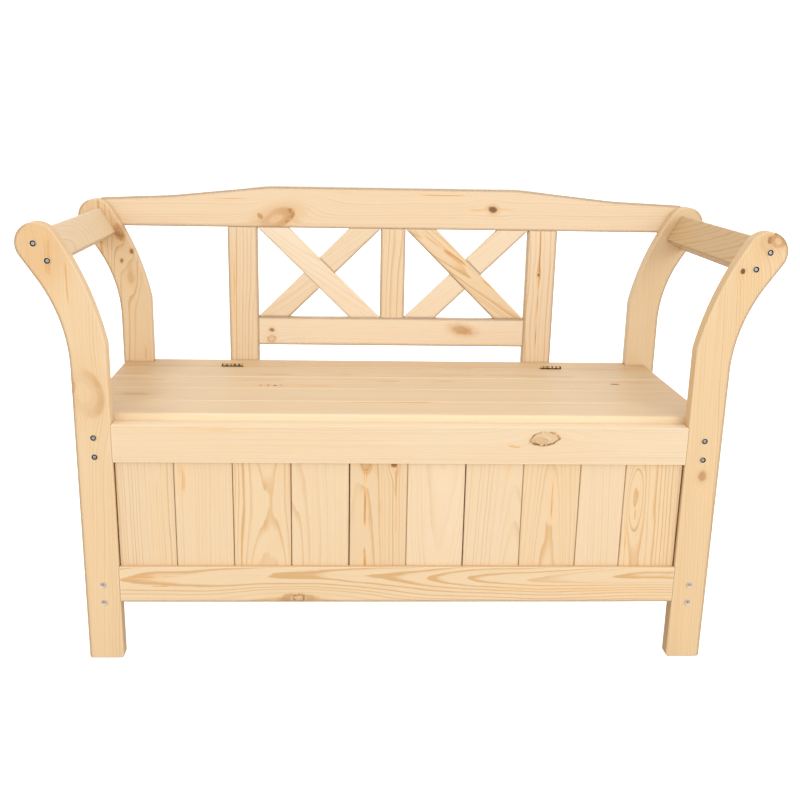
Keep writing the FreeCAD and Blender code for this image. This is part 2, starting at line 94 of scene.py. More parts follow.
def mixed(tree, factor, first, second, blend="MIX"):
    made = node(tree, "ShaderNodeMix", data_type="RGBA", blend_type=blend)
    feed(tree, made.inputs[0], factor)
    feed(tree, made.inputs[6], first)
    feed(tree, made.inputs[7], second)
    return made.outputs[2]


def noise(tree, vector, scale, detail=2.0, roughness=0.5):
    made = node(tree, "ShaderNodeTexNoise", {"Vector": vector, "Scale": scale, "Detail": detail,
                                             "Roughness": roughness})
    return made.outputs[0]


def stretched(tree, u, v, w, along, across):
    """A place scaled by along and by across, so that noise on it runs with the grain."""
    return joined(tree, maths(tree, "MULTIPLY", u, along), maths(tree, "MULTIPLY", v, across),
                  maths(tree, "MULTIPLY", w, across))


SOCKETS = {"V": "NodeSocketVector", "F": "NodeSocketFloat", "C": "NodeSocketColor"}


def new_group(name, inputs, outputs, kind="ShaderNodeTree"):
    """An empty group; inputs and outputs are {name: letter} or {name: (letter, value)}."""
    tree = bpy.data.node_groups.new(name, kind)
    for way, listed in (("INPUT", inputs), ("OUTPUT", outputs)):
        for label, what in listed.items():
            letter, value = what if isinstance(what, tuple) else (what, None)
            socket = tree.interface.new_socket(label, in_out=way, socket_type=SOCKETS[letter])
            if value is not None:
                socket.default_value = value
    return tree, tree.nodes.new("NodeGroupInput").outputs, tree.nodes.new("NodeGroupOutput").inputs


def use(tree, group, sockets):
    made = node(tree, "ShaderNodeGroup", node_tree=group)
    for key, value in sockets.items():
        feed(tree, made.inputs[key], value)
    return made.outputs


# Groups that the materials share
def make_board_row():
    """Splits a row of boards that share one node, so that each has grain of its own."""
    tree, given, out = new_group(
        "board_row", {"Vector": "V", "Start": "F", "Pitch": ("F", 0.1), "Seed": "F"},
        {"Vector": "V", "Tone": "F"})
    u, v, w = parts_of(tree, given["Vector"])
    place = maths(tree, "DIVIDE", maths(tree, "SUBTRACT", v, given["Start"]), given["Pitch"])
    index = maths(tree, "FLOOR", place)
    draw = node(tree, "ShaderNodeTexWhiteNoise",
                {"W": maths(tree, "ADD", index, given["Seed"])}, noise_dimensions="1D")
    red, green, blue = parts_of(tree, draw.outputs["Color"])
    across = maths(tree, "MULTIPLY", maths(tree, "SUBTRACT", maths(tree, "FRACT", place), 0.5),
                   given["Pitch"])
    across = maths(tree, "ADD", across, maths(tree, "MULTIPLY", maths(tree, "SUBTRACT", green, 0.5), 0.09))
    tree.links.new(joined(tree, maths(tree, "MULTIPLY_ADD", red, 3.0, u), across,
                          maths(tree, "MULTIPLY_ADD", blue, 0.03, w)), out["Vector"])
    tree.links.new(draw.outputs["Value"], out["Tone"])
    return tree


def make_knot():
    """One knot or swirl: it bends the grain and adds its fill, its outline and the stain round it."""
    tree, given, out = new_group(
        "pine_knot",
        {"Vector": "V", "Bent": "V", "Fill": "F", "Rim": "F", "Stain": "F", "Push": "F", "Centre": "V",
         "Radius": ("F", 0.01), "Stretch": ("F", 1.3), "Turn": "F", "Reach": ("F", 2.0),
         "Dark": ("F", 1.0), "Hollow": "F", "Rim Dark": ("F", 1.0), "Rim Width": ("F", 0.2),
         "Stained": "F", "Dark Side": "V", "Bend": ("F", 0.8), "Lift": ("F", 0.9),
         "Uneven": ("F", 1.0)},
        {"Bent": "V", "Fill": "F", "Rim": "F", "Stain": "F", "Push": "F"})
    away = vectors(tree, "SUBTRACT", given["Vector"], given["Centre"])
    du, dv, _ = parts_of(tree, away)
    turned = node(tree, "ShaderNodeVectorRotate",
                  {"Vector": joined(tree, du, dv, 0.0), "Angle": given["Turn"]}, rotation_type="Z_AXIS")
    tu, tv, _ = parts_of(tree, turned.outputs[0])
    a = maths(tree, "DIVIDE", tu, maths(tree, "MULTIPLY", given["Radius"], given["Stretch"]))
    b = maths(tree, "DIVIDE", tv, given["Radius"])
    centre_u, centre_v, _ = parts_of(tree, given["Centre"])
    own = maths(tree, "MULTIPLY", maths(tree, "ADD", centre_u, centre_v), 91.0)
    local = joined(tree, maths(tree, "MULTIPLY", a, given["Stretch"]), b, own)
    waves = maths(tree, "SUBTRACT", noise(tree, local, 0.9, 3.0, 0.6), 0.5)
    reach = maths(tree, "SQRT", maths(tree, "MULTIPLY_ADD", a, a, maths(tree, "MULTIPLY", b, b)))
    rough = maths(tree, "MULTIPLY_ADD", waves, maths(tree, "MULTIPLY", given["Uneven"], 0.75), reach)
    level = maths(tree, "DIVIDE", vectors(tree, "DOT_PRODUCT", joined(tree, a, b, 0.0), given["Dark Side"]),
                  maths(tree, "MAXIMUM", reach, 0.3))
    even = maths(tree, "SUBTRACT", 1.0, vectors(tree, "LENGTH", given["Dark Side"]))
    sided = maths(tree, "MULTIPLY_ADD", level, 1.2, even, clamp=True)
    rings = maths(tree, "SINE", maths(tree, "MULTIPLY", rough, 17.0))
    mottle = noise(tree, local, 3.2, 4.0, 0.65)
    fill = maths(tree, "MULTIPLY", rise(tree, rough, 1.1, 0.62), given["Dark"])
    fill = maths(tree, "MULTIPLY", fill, maths(tree, "MULTIPLY_ADD", mottle, 0.9, 0.5))
    fill = maths(tree, "MULTIPLY", fill, maths(tree, "MULTIPLY_ADD", rings, 0.14, 0.9))
    fill = maths(tree, "MULTIPLY", fill, maths(tree, "MULTIPLY_ADD", sided, 0.35, 0.75))
    open_middle = maths(tree, "MULTIPLY", rise(tree, rough, 0.62, 0.3), given["Hollow"])
    fill = maths(tree, "MULTIPLY", fill, maths(tree, "SUBTRACT", 1.0, open_middle))
    inside = maths(tree, "MULTIPLY_ADD", given["Rim Width"], -2.0, 1.0)
    band = rise(tree, rough, inside, 0.97)
    band = maths(tree, "MULTIPLY", band, rise(tree, rough, 1.2, 1.0))
    gaps = maths(tree, "SUBTRACT", 1.0, rise(tree, noise(tree, local, 2.3, 3.0, 0.6), 0.3, 0.56))
    breaks = maths(tree, "SUBTRACT", 1.0, maths(tree, "MULTIPLY", gaps, given["Uneven"]))
    rim = maths(tree, "MULTIPLY", maths(tree, "MULTIPLY", band, breaks), given["Rim Dark"])
    rim = maths(tree, "MULTIPLY", rim, sided)
    stain = maths(tree, "MULTIPLY", rise(tree, rough, 2.3, 0.7), given["Stained"])
    wide = maths(tree, "DIVIDE", a, maths(tree, "MULTIPLY", given["Reach"], 1.5))
    high = maths(tree, "DIVIDE", b, given["Reach"])
    fall = maths(tree, "EXPONENT", maths(tree, "MULTIPLY", maths(
        tree, "MULTIPLY_ADD", wide, wide, maths(tree, "MULTIPLY", high, high)), -1.0))
    u, v, w = parts_of(tree, given["Bent"])
    pull = maths(tree, "MULTIPLY", maths(tree, "MULTIPLY", dv, fall), given["Bend"])
    push = maths(tree, "MULTIPLY", maths(tree, "MULTIPLY", fall, given["Radius"]), given["Lift"])
    tree.links.new(joined(tree, u, maths(tree, "SUBTRACT", v, pull), w), out["Bent"])
    for label, value in (("Fill", fill), ("Rim", rim), ("Stain", stain)):
        tree.links.new(maths(tree, "MAXIMUM", given[label], value), out[label])
    tree.links.new(maths(tree, "ADD", given["Push"], push), out["Push"])
    return tree


def make_streak():
    """A long soft streak of resin or heartwood along the grain."""
    tree, given, out = new_group(
        "pine_streak",
        {"Vector": "V", "Mask": "F", "Centre": "V", "Half Length": ("F", 0.1),
         "Half Width": ("F", 0.004), "Strength": ("F", 1.0)}, {"Mask": "F"})
    away = vectors(tree, "SUBTRACT", given["Vector"], given["Centre"])
    u, v, w = parts_of(tree, given["Vector"])
    sway = maths(tree, "SUBTRACT", noise(tree, joined(tree, u, maths(tree, "MULTIPLY", v, 0.2), w), 9.0), 0.5)
    du, dv, _ = parts_of(tree, away)
    dv = maths(tree, "MULTIPLY_ADD", sway, maths(tree, "MULTIPLY", given["Half Width"], 1.6), dv)
    along = rise(tree, maths(tree, "DIVIDE", maths(tree, "ABSOLUTE", du), given["Half Length"]), 1.0, 0.35)
    across = rise(tree, maths(tree, "DIVIDE", maths(tree, "ABSOLUTE", dv), given["Half Width"]), 1.0, 0.1)
    fine = noise(tree, stretched(tree, u, v, 0.0, 12.0, 420.0), 1.0)
    mask = maths(tree, "MULTIPLY", maths(tree, "MULTIPLY", along, across), given["Strength"])
    mask = maths(tree, "MULTIPLY", mask, rise(tree, fine, 0.2, 0.65))
    tree.links.new(maths(tree, "MAXIMUM", given["Mask"], mask), out["Mask"])
    return tree


def make_grain():
    """Year rings of a log cut lengthwise, with the fine fibres and the soft patches of planed pine."""
    tree, given, out = new_group(
        "pine_grain",
        {"Vector": "V", "Pith": "V", "Lean": "V", "Ring Width": ("F", 0.004), "Wander": ("F", 0.006),
         "Push": "F", "Seed": "F"},
        {"Late Wood": "F", "Ring Tone": "F", "Fibre": "F", "Patch": "F", "Stripe": "F"})
    u, v, w = parts_of(tree, given["Vector"])
    far = maths(tree, "MULTIPLY_ADD", given["Seed"], 7.31, u)
    slow = stretched(tree, far, v, w, 2.2, 5.0)
    drift = node(tree, "ShaderNodeTexNoise", {"Vector": slow, "Scale": 1.0, "Detail": 2.0})
    drift_v, drift_w, _ = parts_of(tree, vectors(tree, "SUBTRACT", drift.outputs["Color"], (0.5, 0.5, 0.5)))
    _, pith_v, pith_w = parts_of(tree, given["Pith"])
    _, lean_v, lean_w = parts_of(tree, given["Lean"])
    away_v = maths(tree, "SUBTRACT", maths(tree, "SUBTRACT", v, pith_v), maths(tree, "MULTIPLY", u, lean_v))
    away_w = maths(tree, "SUBTRACT", maths(tree, "SUBTRACT", w, pith_w), maths(tree, "MULTIPLY", u, lean_w))
    wander = maths(tree, "MULTIPLY", given["Wander"], 4.0)
    away_v = maths(tree, "MULTIPLY_ADD", drift_v, wander, away_v)
    away_w = maths(tree, "MULTIPLY_ADD", drift_w, wander, away_w)
    radius = maths(tree, "SQRT", maths(tree, "ADD", maths(tree, "MULTIPLY", away_v, away_v),
                                       maths(tree, "MULTIPLY", away_w, away_w)))
    radius = maths(tree, "ADD", radius, given["Push"])
    ripple = noise(tree, stretched(tree, far, v, w, 14.0, 90.0), 1.0, 3.0)
    turns = maths(tree, "DIVIDE", radius, given["Ring Width"])
    uneven = node(tree, "ShaderNodeTexNoise", {"W": maths(tree, "MULTIPLY_ADD", turns, 0.37, given["Seed"]),
                                               "Scale": 1.0, "Detail": 1.0}, noise_dimensions="1D")
    turns = maths(tree, "MULTIPLY_ADD", uneven.outputs[0], 1.6, turns)
    turns = maths(tree, "MULTIPLY_ADD", ripple, 0.5, turns)
    part = maths(tree, "FRACT", turns)
    draw = node(tree, "ShaderNodeTexWhiteNoise", {"W": maths(tree, "FLOOR", turns)}, noise_dimensions="1D")
    late = maths(tree, "MULTIPLY", rise(tree, part, 0.5, 0.93), rise(tree, part, 1.0, 0.94))
    late = maths(tree, "POWER", late, 1.4)
    bands = noise(tree, stretched(tree, far, v, w, 0.8, 34.0), 1.0, 1.0)
    late = maths(tree, "MULTIPLY", late, maths(tree, "ADD", rise(tree, bands, 0.34, 0.62, 0.75), 0.35))
    late = maths(tree, "MULTIPLY", late, maths(tree, "MULTIPLY_ADD", draw.outputs["Value"], 0.8, 0.35))
    fibre = noise(tree, stretched(tree, far, v, w, 26.0, 900.0), 1.0, 3.0, 0.6)
    patch = noise(tree, stretched(tree, far, v, w, 3.0, 22.0), 1.0, 3.0)
    stripe = noise(tree, stretched(tree, far, v, w, 2.0, 260.0), 1.0, 2.0)
    for label, value in (("Late Wood", late), ("Ring Tone", draw.outputs["Value"]), ("Fibre", fibre),
                         ("Patch", patch), ("Stripe", stripe)):
        tree.links.new(value, out[label])
    return tree


def make_eased_edge_mask():
    """A mask of the eased edges: where a rounded normal leaves the true one."""
    tree, given, out = new_group("edge_wear", {"Radius": ("F", 0.0025), "Amount": ("F", 1.0)},
                                 {"Mask": "F", "Normal": "V"})
    soft = node(tree, "ShaderNodeBevel", {"Radius": given["Radius"]}, samples=4)
    true = node(tree, "ShaderNodeNewGeometry")
    level = vectors(tree, "DOT_PRODUCT", soft.outputs[0], true.outputs["True Normal"])
    tree.links.new(maths(tree, "MULTIPLY", rise(tree, level, 0.998, 0.94), given["Amount"]), out["Mask"])
    tree.links.new(soft.outputs[0], out["Normal"])
    return tree


def make_seam_shade_and_dust():
    """A mask of the seams between pieces: painted shade where little light gets in, with some dust."""
    tree, given, out = new_group("joint_grime", {"Distance": ("F", 0.006), "Amount": ("F", 1.0)},
                                 {"Mask": "F"})
    near = node(tree, "ShaderNodeAmbientOcclusion", {"Distance": given["Distance"]}, samples=6)
    tree.links.new(maths(tree, "MULTIPLY", rise(tree, near.outputs["AO"], 0.75, 0.2), given["Amount"]),
                   out["Mask"])
    return tree


def make_soft_shade():
    """A mask of the seat's ends, which the arms and the legs keep in shade."""
    tree, given, out = new_group("seat_end_shade", {"Vector": "V", "Start": ("F", 0.36), "Full": ("F", 0.53),
                                                    "Amount": ("F", 1.0)}, {"Mask": "F"})
    x, _, _ = parts_of(tree, given["Vector"])
    sway = maths(tree, "SUBTRACT", noise(tree, given["Vector"], 9.0, 2.0), 0.5)
    far = maths(tree, "MULTIPLY_ADD", sway, 0.12, maths(tree, "ABSOLUTE", x))
    shaded = rise(tree, far, given["Start"], given["Full"])
    tree.links.new(maths(tree, "MULTIPLY", shaded, given["Amount"]), out["Mask"])
    return tree


BOARD_ROW = make_board_row()
KNOT = make_knot()
STREAK = make_streak()
GRAIN = make_grain()
EASED_EDGE_MASK = make_eased_edge_mask()
SEAM_SHADE_AND_DUST = make_seam_shade_and_dust()
SOFT_SHADE = make_soft_shade()


# Pine
EARLY_WOOD = (0.80, 0.605, 0.385)
LATE_WOOD = (0.66, 0.40, 0.175)
STREAK_WOOD = (0.62, 0.315, 0.10)
KNOT_STAIN = (0.68, 0.40, 0.17)
KNOT_AMBER = (0.56, 0.29, 0.09)
KNOT_TAN = (0.46, 0.235, 0.09)
KNOT_WOOD = (0.15, 0.062, 0.022)
KNOT_RIM = (0.15, 0.07, 0.03)
# Painted shade in the seams, with a dust colour.
SEAM_SHADE_DUST_COLOUR = (0.24, 0.12, 0.045)
# Painted highlight on eased edges and on faces turned to the light.
PAINTED_HIGHLIGHT = (0.92, 0.76, 0.53)
# Painted shade on edges that face away from the light.
PAINTED_EDGE_SHADE = (0.24, 0.14, 0.075)
# Painted shade on side faces.
PAINTED_SIDE_SHADE = (0.56, 0.34, 0.15)
# Painted shade on the front boards' seam edges.
PAINTED_SEAM_SHADE = (0.40, 0.22, 0.08)
FLAME_WOOD = (0.86, 0.53, 0.23)
PATCH_TINT = (0.97, 0.91, 0.80, 1.0)
ROW_TINT = (0.93, 0.84, 0.72, 1.0)
SHADE_TINT = (0.72, 0.62, 0.50, 1.0)
ARRIS_WIDTH = 0.007           # how far the painted edge shade reaches from an edge
SEAM_REACH = 0.0035           # how near another piece has to be for painted seam shade
GRAIN_DEPTH = 0.0004          # height of the raised late wood, for the bump
FIGURE = 1.7                  # how strongly the late wood shows, for every board
# Length and width direction of a board, and the two frame axes that its marks are given in.
LAY = {"X": ((1, 0, 0), (0, 0, 1), "XZ"), "Y": ((0, 1, 0), (0, 0, 1), "YZ"),
       "Z": ((0, 0, 1), (1, 0, 0), "XZ"), "flat X": ((1, 0, 0), (0, 1, 0), "XY"),
       "flat Y": ((0, 1, 0), (1, 0, 0), "XY"), "side Z": ((0, 0, 1), (0, 1, 0), "YZ")}


def tinted(colour, tone, warmth):
    """The colour made lighter by tone and more orange by warmth, both about 0."""
    red, green, blue = colour
    return (min(red * (1 + tone), 1.0), min(green * (1 + tone - 0.35 * warmth), 1.0),
            min(blue * (1 + tone - warmth), 1.0), 1.0)


def board_axes(along, across):
    """Matrix whose columns are the board's length, width and thickness directions."""
    along, across = Vector(along).normalized(), Vector(across).normalized()
    return Matrix((along, across, along.cross(across))).transposed()


def knot(a, b, radius, stretch=1.3, dark=0.9, rim=0.4, turn=0.0, side=(0, 0), reach=2.0, bend=0.8,
         lift=0.9, hollow=0.0, rim_width=0.2, stained=0.4, uneven=1.0):
    """A knot at a, b in millimetres of the frame; turn in degrees, side is where it is darkest."""
    return (a, b), {"Radius": radius * MM, "Stretch": stretch, "Turn": math.radians(turn), "Reach": reach,
                    "Dark": dark, "Hollow": hollow, "Rim Dark": rim, "Rim Width": rim_width,
                    "Stained": stained, "Dark Side": (*side, 0.0), "Bend": bend, "Lift": lift,
                    "Uneven": uneven}


def swirl(a, b, radius, stretch=2.5, lift=-1.0, reach=1.6):
    """Grain that closes into an oval (lift below 0) or is drawn in from both sides, with no knot."""
    return knot(a, b, radius, stretch, dark=0.0, rim=0.0, stained=0.0, reach=reach, bend=0.0, lift=lift)


def speck(a, b, radius):
    """A small dark mark that leaves the grain round it straight."""
    return knot(a, b, radius, 0.5, dark=1.2, rim=0.2, stained=0.1, reach=0.5, bend=0.0, lift=0.0)


def pine(name, centre, lay, pith=(0.0, 0.06), lean=(0.0, 0.02), ring=0.0052, wander=0.005,
         strength=0.5, tone=0.0, warmth=0.0, knots=(), streaks=(), row=None, seed=0.0, rough=0.5,
         stripe=0.26, edge=0.35, edge_width=0.003, edge_tint=PAINTED_HIGHLIGHT, seam_shade_dust=0.5, shade=0.0,
         arris_dark=0.95, faces=(), dark_sides=((0, 0, -1),)):
    """Planed bare pine of one board. pith is how far the log's middle lies from the board's, across
    and through; lean is how much it drifts per metre. streaks are (a, b, half length, half width,
    strength), at a, b in millimetres of the frame as knots are; faces are (axis, colour, amount), the
    colour painted as light and shade on the faces that look along that axis, and dark_sides are the
    directions that the painted edge shade faces."""
    along, across, plane = lay
    axes = board_axes(along, across)

    def on_board(a, b):
        point = {"XZ": (a * MM, centre[1], b * MM), "YZ": (centre[0], a * MM, b * MM),
                 "XY": (a * MM, b * MM, centre[2])}[plane]
        spot = axes.transposed() @ (Vector(point) - Vector(centre))
        return (spot.x, spot.y, 0.0)

    material = bpy.data.materials.new(name)
    material.use_nodes = True
    tree = material.node_tree
    shader = tree.nodes["Principled BSDF"]
    coords = node(tree, "ShaderNodeTexCoord")
    mapping = node(tree, "ShaderNodeMapping", {"Vector": coords.outputs["Object"]}, vector_type="TEXTURE")
    mapping.inputs["Location"].default_value = centre
    mapping.inputs["Rotation"].default_value = axes.to_euler()
    place = mapping.outputs[0]
    board_tone = 0.5
    if row:
        split = use(tree, BOARD_ROW, {"Vector": place, "Start": row[0], "Pitch": row[1], "Seed": seed})
        place = split["Vector"]
        board_tone = split["Tone"]
    marks = {"Bent": place, "Fill": 0.0, "Rim": 0.0, "Stain": 0.0, "Push": 0.0}
    for spot, values in knots:
        made = use(tree, KNOT, {**marks, "Vector": place, "Centre": on_board(*spot), **values})
        marks = {label: made[label] for label in marks}
    streak = 0.0
    for a, b, half_length, half_width, amount in streaks:
        streak = use(tree, STREAK, {"Vector": marks["Bent"], "Mask": streak, "Centre": on_board(a, b),
                                    "Half Length": half_length * MM, "Half Width": half_width * MM,
                                    "Strength": amount})["Mask"]
    grain = use(tree, GRAIN, {"Vector": marks["Bent"], "Pith": (0.0, pith[0], pith[1]),
                              "Lean": (0.0, lean[0], lean[1]), "Ring Width": ring, "Wander": wander,
                              "Push": marks["Push"], "Seed": seed})
    early = tinted(EARLY_WOOD, tone, warmth)
    late = tinted(LATE_WOOD, tone, warmth)
    colour = mixed(tree, maths(tree, "MULTIPLY", grain["Late Wood"], strength * FIGURE), early, late)
    patchy = rise(tree, grain["Patch"], 0.35, 0.75, 0.35)
    colour = mixed(tree, patchy, colour, mixed(tree, 1.0, colour, PATCH_TINT, "MULTIPLY"))
    colour = mixed(tree, rise(tree, grain["Stripe"], 0.55, 0.8, stripe), colour, late)
    colour = mixed(tree, rise(tree, grain["Fibre"], 0.35, 0.75, 0.12), colour, tinted(LATE_WOOD, tone, 0.0))
    if row:
        colour = mixed(tree, maths(tree, "MULTIPLY", board_tone, 0.4), colour,
                       mixed(tree, 1.0, colour, ROW_TINT, "MULTIPLY"))
    if streaks:
        flame = maths(tree, "MULTIPLY", streak, 1.5, clamp=True)
        colour = mixed(tree, flame, colour, mixed(tree, 0.6, colour, (*FLAME_WOOD, 1.0)))
        colour = mixed(tree, rise(tree, streak, 0.35, 1.0), colour, (*STREAK_WOOD, 1.0))
        colour = mixed(tree, maths(tree, "SUBTRACT", streak, 1.0, clamp=True), colour, (*KNOT_WOOD, 1.0))
    if knots:
        colour = mixed(tree, marks["Stain"], colour, (*KNOT_STAIN, 1.0))
        tan = maths(tree, "MULTIPLY", marks["Fill"], 1.6, clamp=True)
        colour = mixed(tree, tan, colour, (*KNOT_TAN, 1.0))
        colour = mixed(tree, rise(tree, marks["Fill"], 0.45, 1.05), colour, (*KNOT_WOOD, 1.0))
        amber = maths(tree, "MULTIPLY", marks["Rim"], 1.5, clamp=True)
        colour = mixed(tree, amber, colour, (*KNOT_AMBER, 1.0))
        colour = mixed(tree, rise(tree, marks["Rim"], 0.4, 0.95), colour, (*KNOT_RIM, 1.0))
    # Eased edges get edge_tint: a painted highlight in the pale colour, and painted seam shade in the front
    # boards' brown.
    painted_edge_mask = use(tree, EASED_EDGE_MASK, {"Radius": edge_width, "Amount": edge})["Mask"]
    colour = mixed(tree, painted_edge_mask, colour, (*edge_tint, 1.0))
    # Painted shade on the edges whose rounding faces one of dark_sides.
    for side in dark_sides:
        arris = use(tree, EASED_EDGE_MASK, {"Radius": ARRIS_WIDTH, "Amount": arris_dark})
        beside = rise(tree, vectors(tree, "DOT_PRODUCT", arris["Normal"], side), 0.12, 0.32)
        colour = mixed(tree, maths(tree, "MULTIPLY", arris["Mask"], beside), colour, (*PAINTED_EDGE_SHADE, 1.0))
    # Painted light and shade on whole faces, by the axis they look along.
    for axis, tint, amount in faces:
        level = parts_of(tree, coords.outputs["Normal"])["XYZ".index(axis)]
        on_face = rise(tree, maths(tree, "ABSOLUTE", level), 0.7, 0.95, amount)
        colour = mixed(tree, on_face, colour, (*tint, 1.0))
    # Painted shade in the seams between pieces, from ambient occlusion, with a dust colour.
    seam_shade_mask = use(tree, SEAM_SHADE_AND_DUST, {"Distance": SEAM_REACH, "Amount": seam_shade_dust})["Mask"]
    colour = mixed(tree, seam_shade_mask, colour, (*SEAM_SHADE_DUST_COLOUR, 1.0))
    if shade:
        under = use(tree, SOFT_SHADE, {"Vector": coords.outputs["Object"], "Amount": shade})["Mask"]
        colour = mixed(tree, under, colour, mixed(tree, 1.0, colour, SHADE_TINT, "MULTIPLY"))
    feed(tree, shader.inputs["Base Color"], colour)
    dull = maths(tree, "MULTIPLY_ADD", grain["Fibre"], 0.16, rough - 0.06)
    dull = maths(tree, "MULTIPLY_ADD", grain["Late Wood"], -0.10, dull)
    feed(tree, shader.inputs["Roughness"], dull)
    height = maths(tree, "MULTIPLY", grain["Fibre"], 0.6)
    height = maths(tree, "MULTIPLY_ADD", grain["Late Wood"], 0.35, height)
    if knots:
        height = maths(tree, "MULTIPLY_ADD", marks["Rim"], -0.8, height)
    bump = node(tree, "ShaderNodeBump", {"Height": height, "Strength": 0.35, "Distance": GRAIN_DEPTH})
    feed(tree, shader.inputs["Normal"], bump.outputs[0])
    return material


def dress(name, material):
    """Gives a CAD node's object one material."""
    slots = NODES[name].data.materials
    slots.clear()
    slots.append(material)


def middle(name):
    low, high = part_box(name)
    return tuple((low + high) / 2)


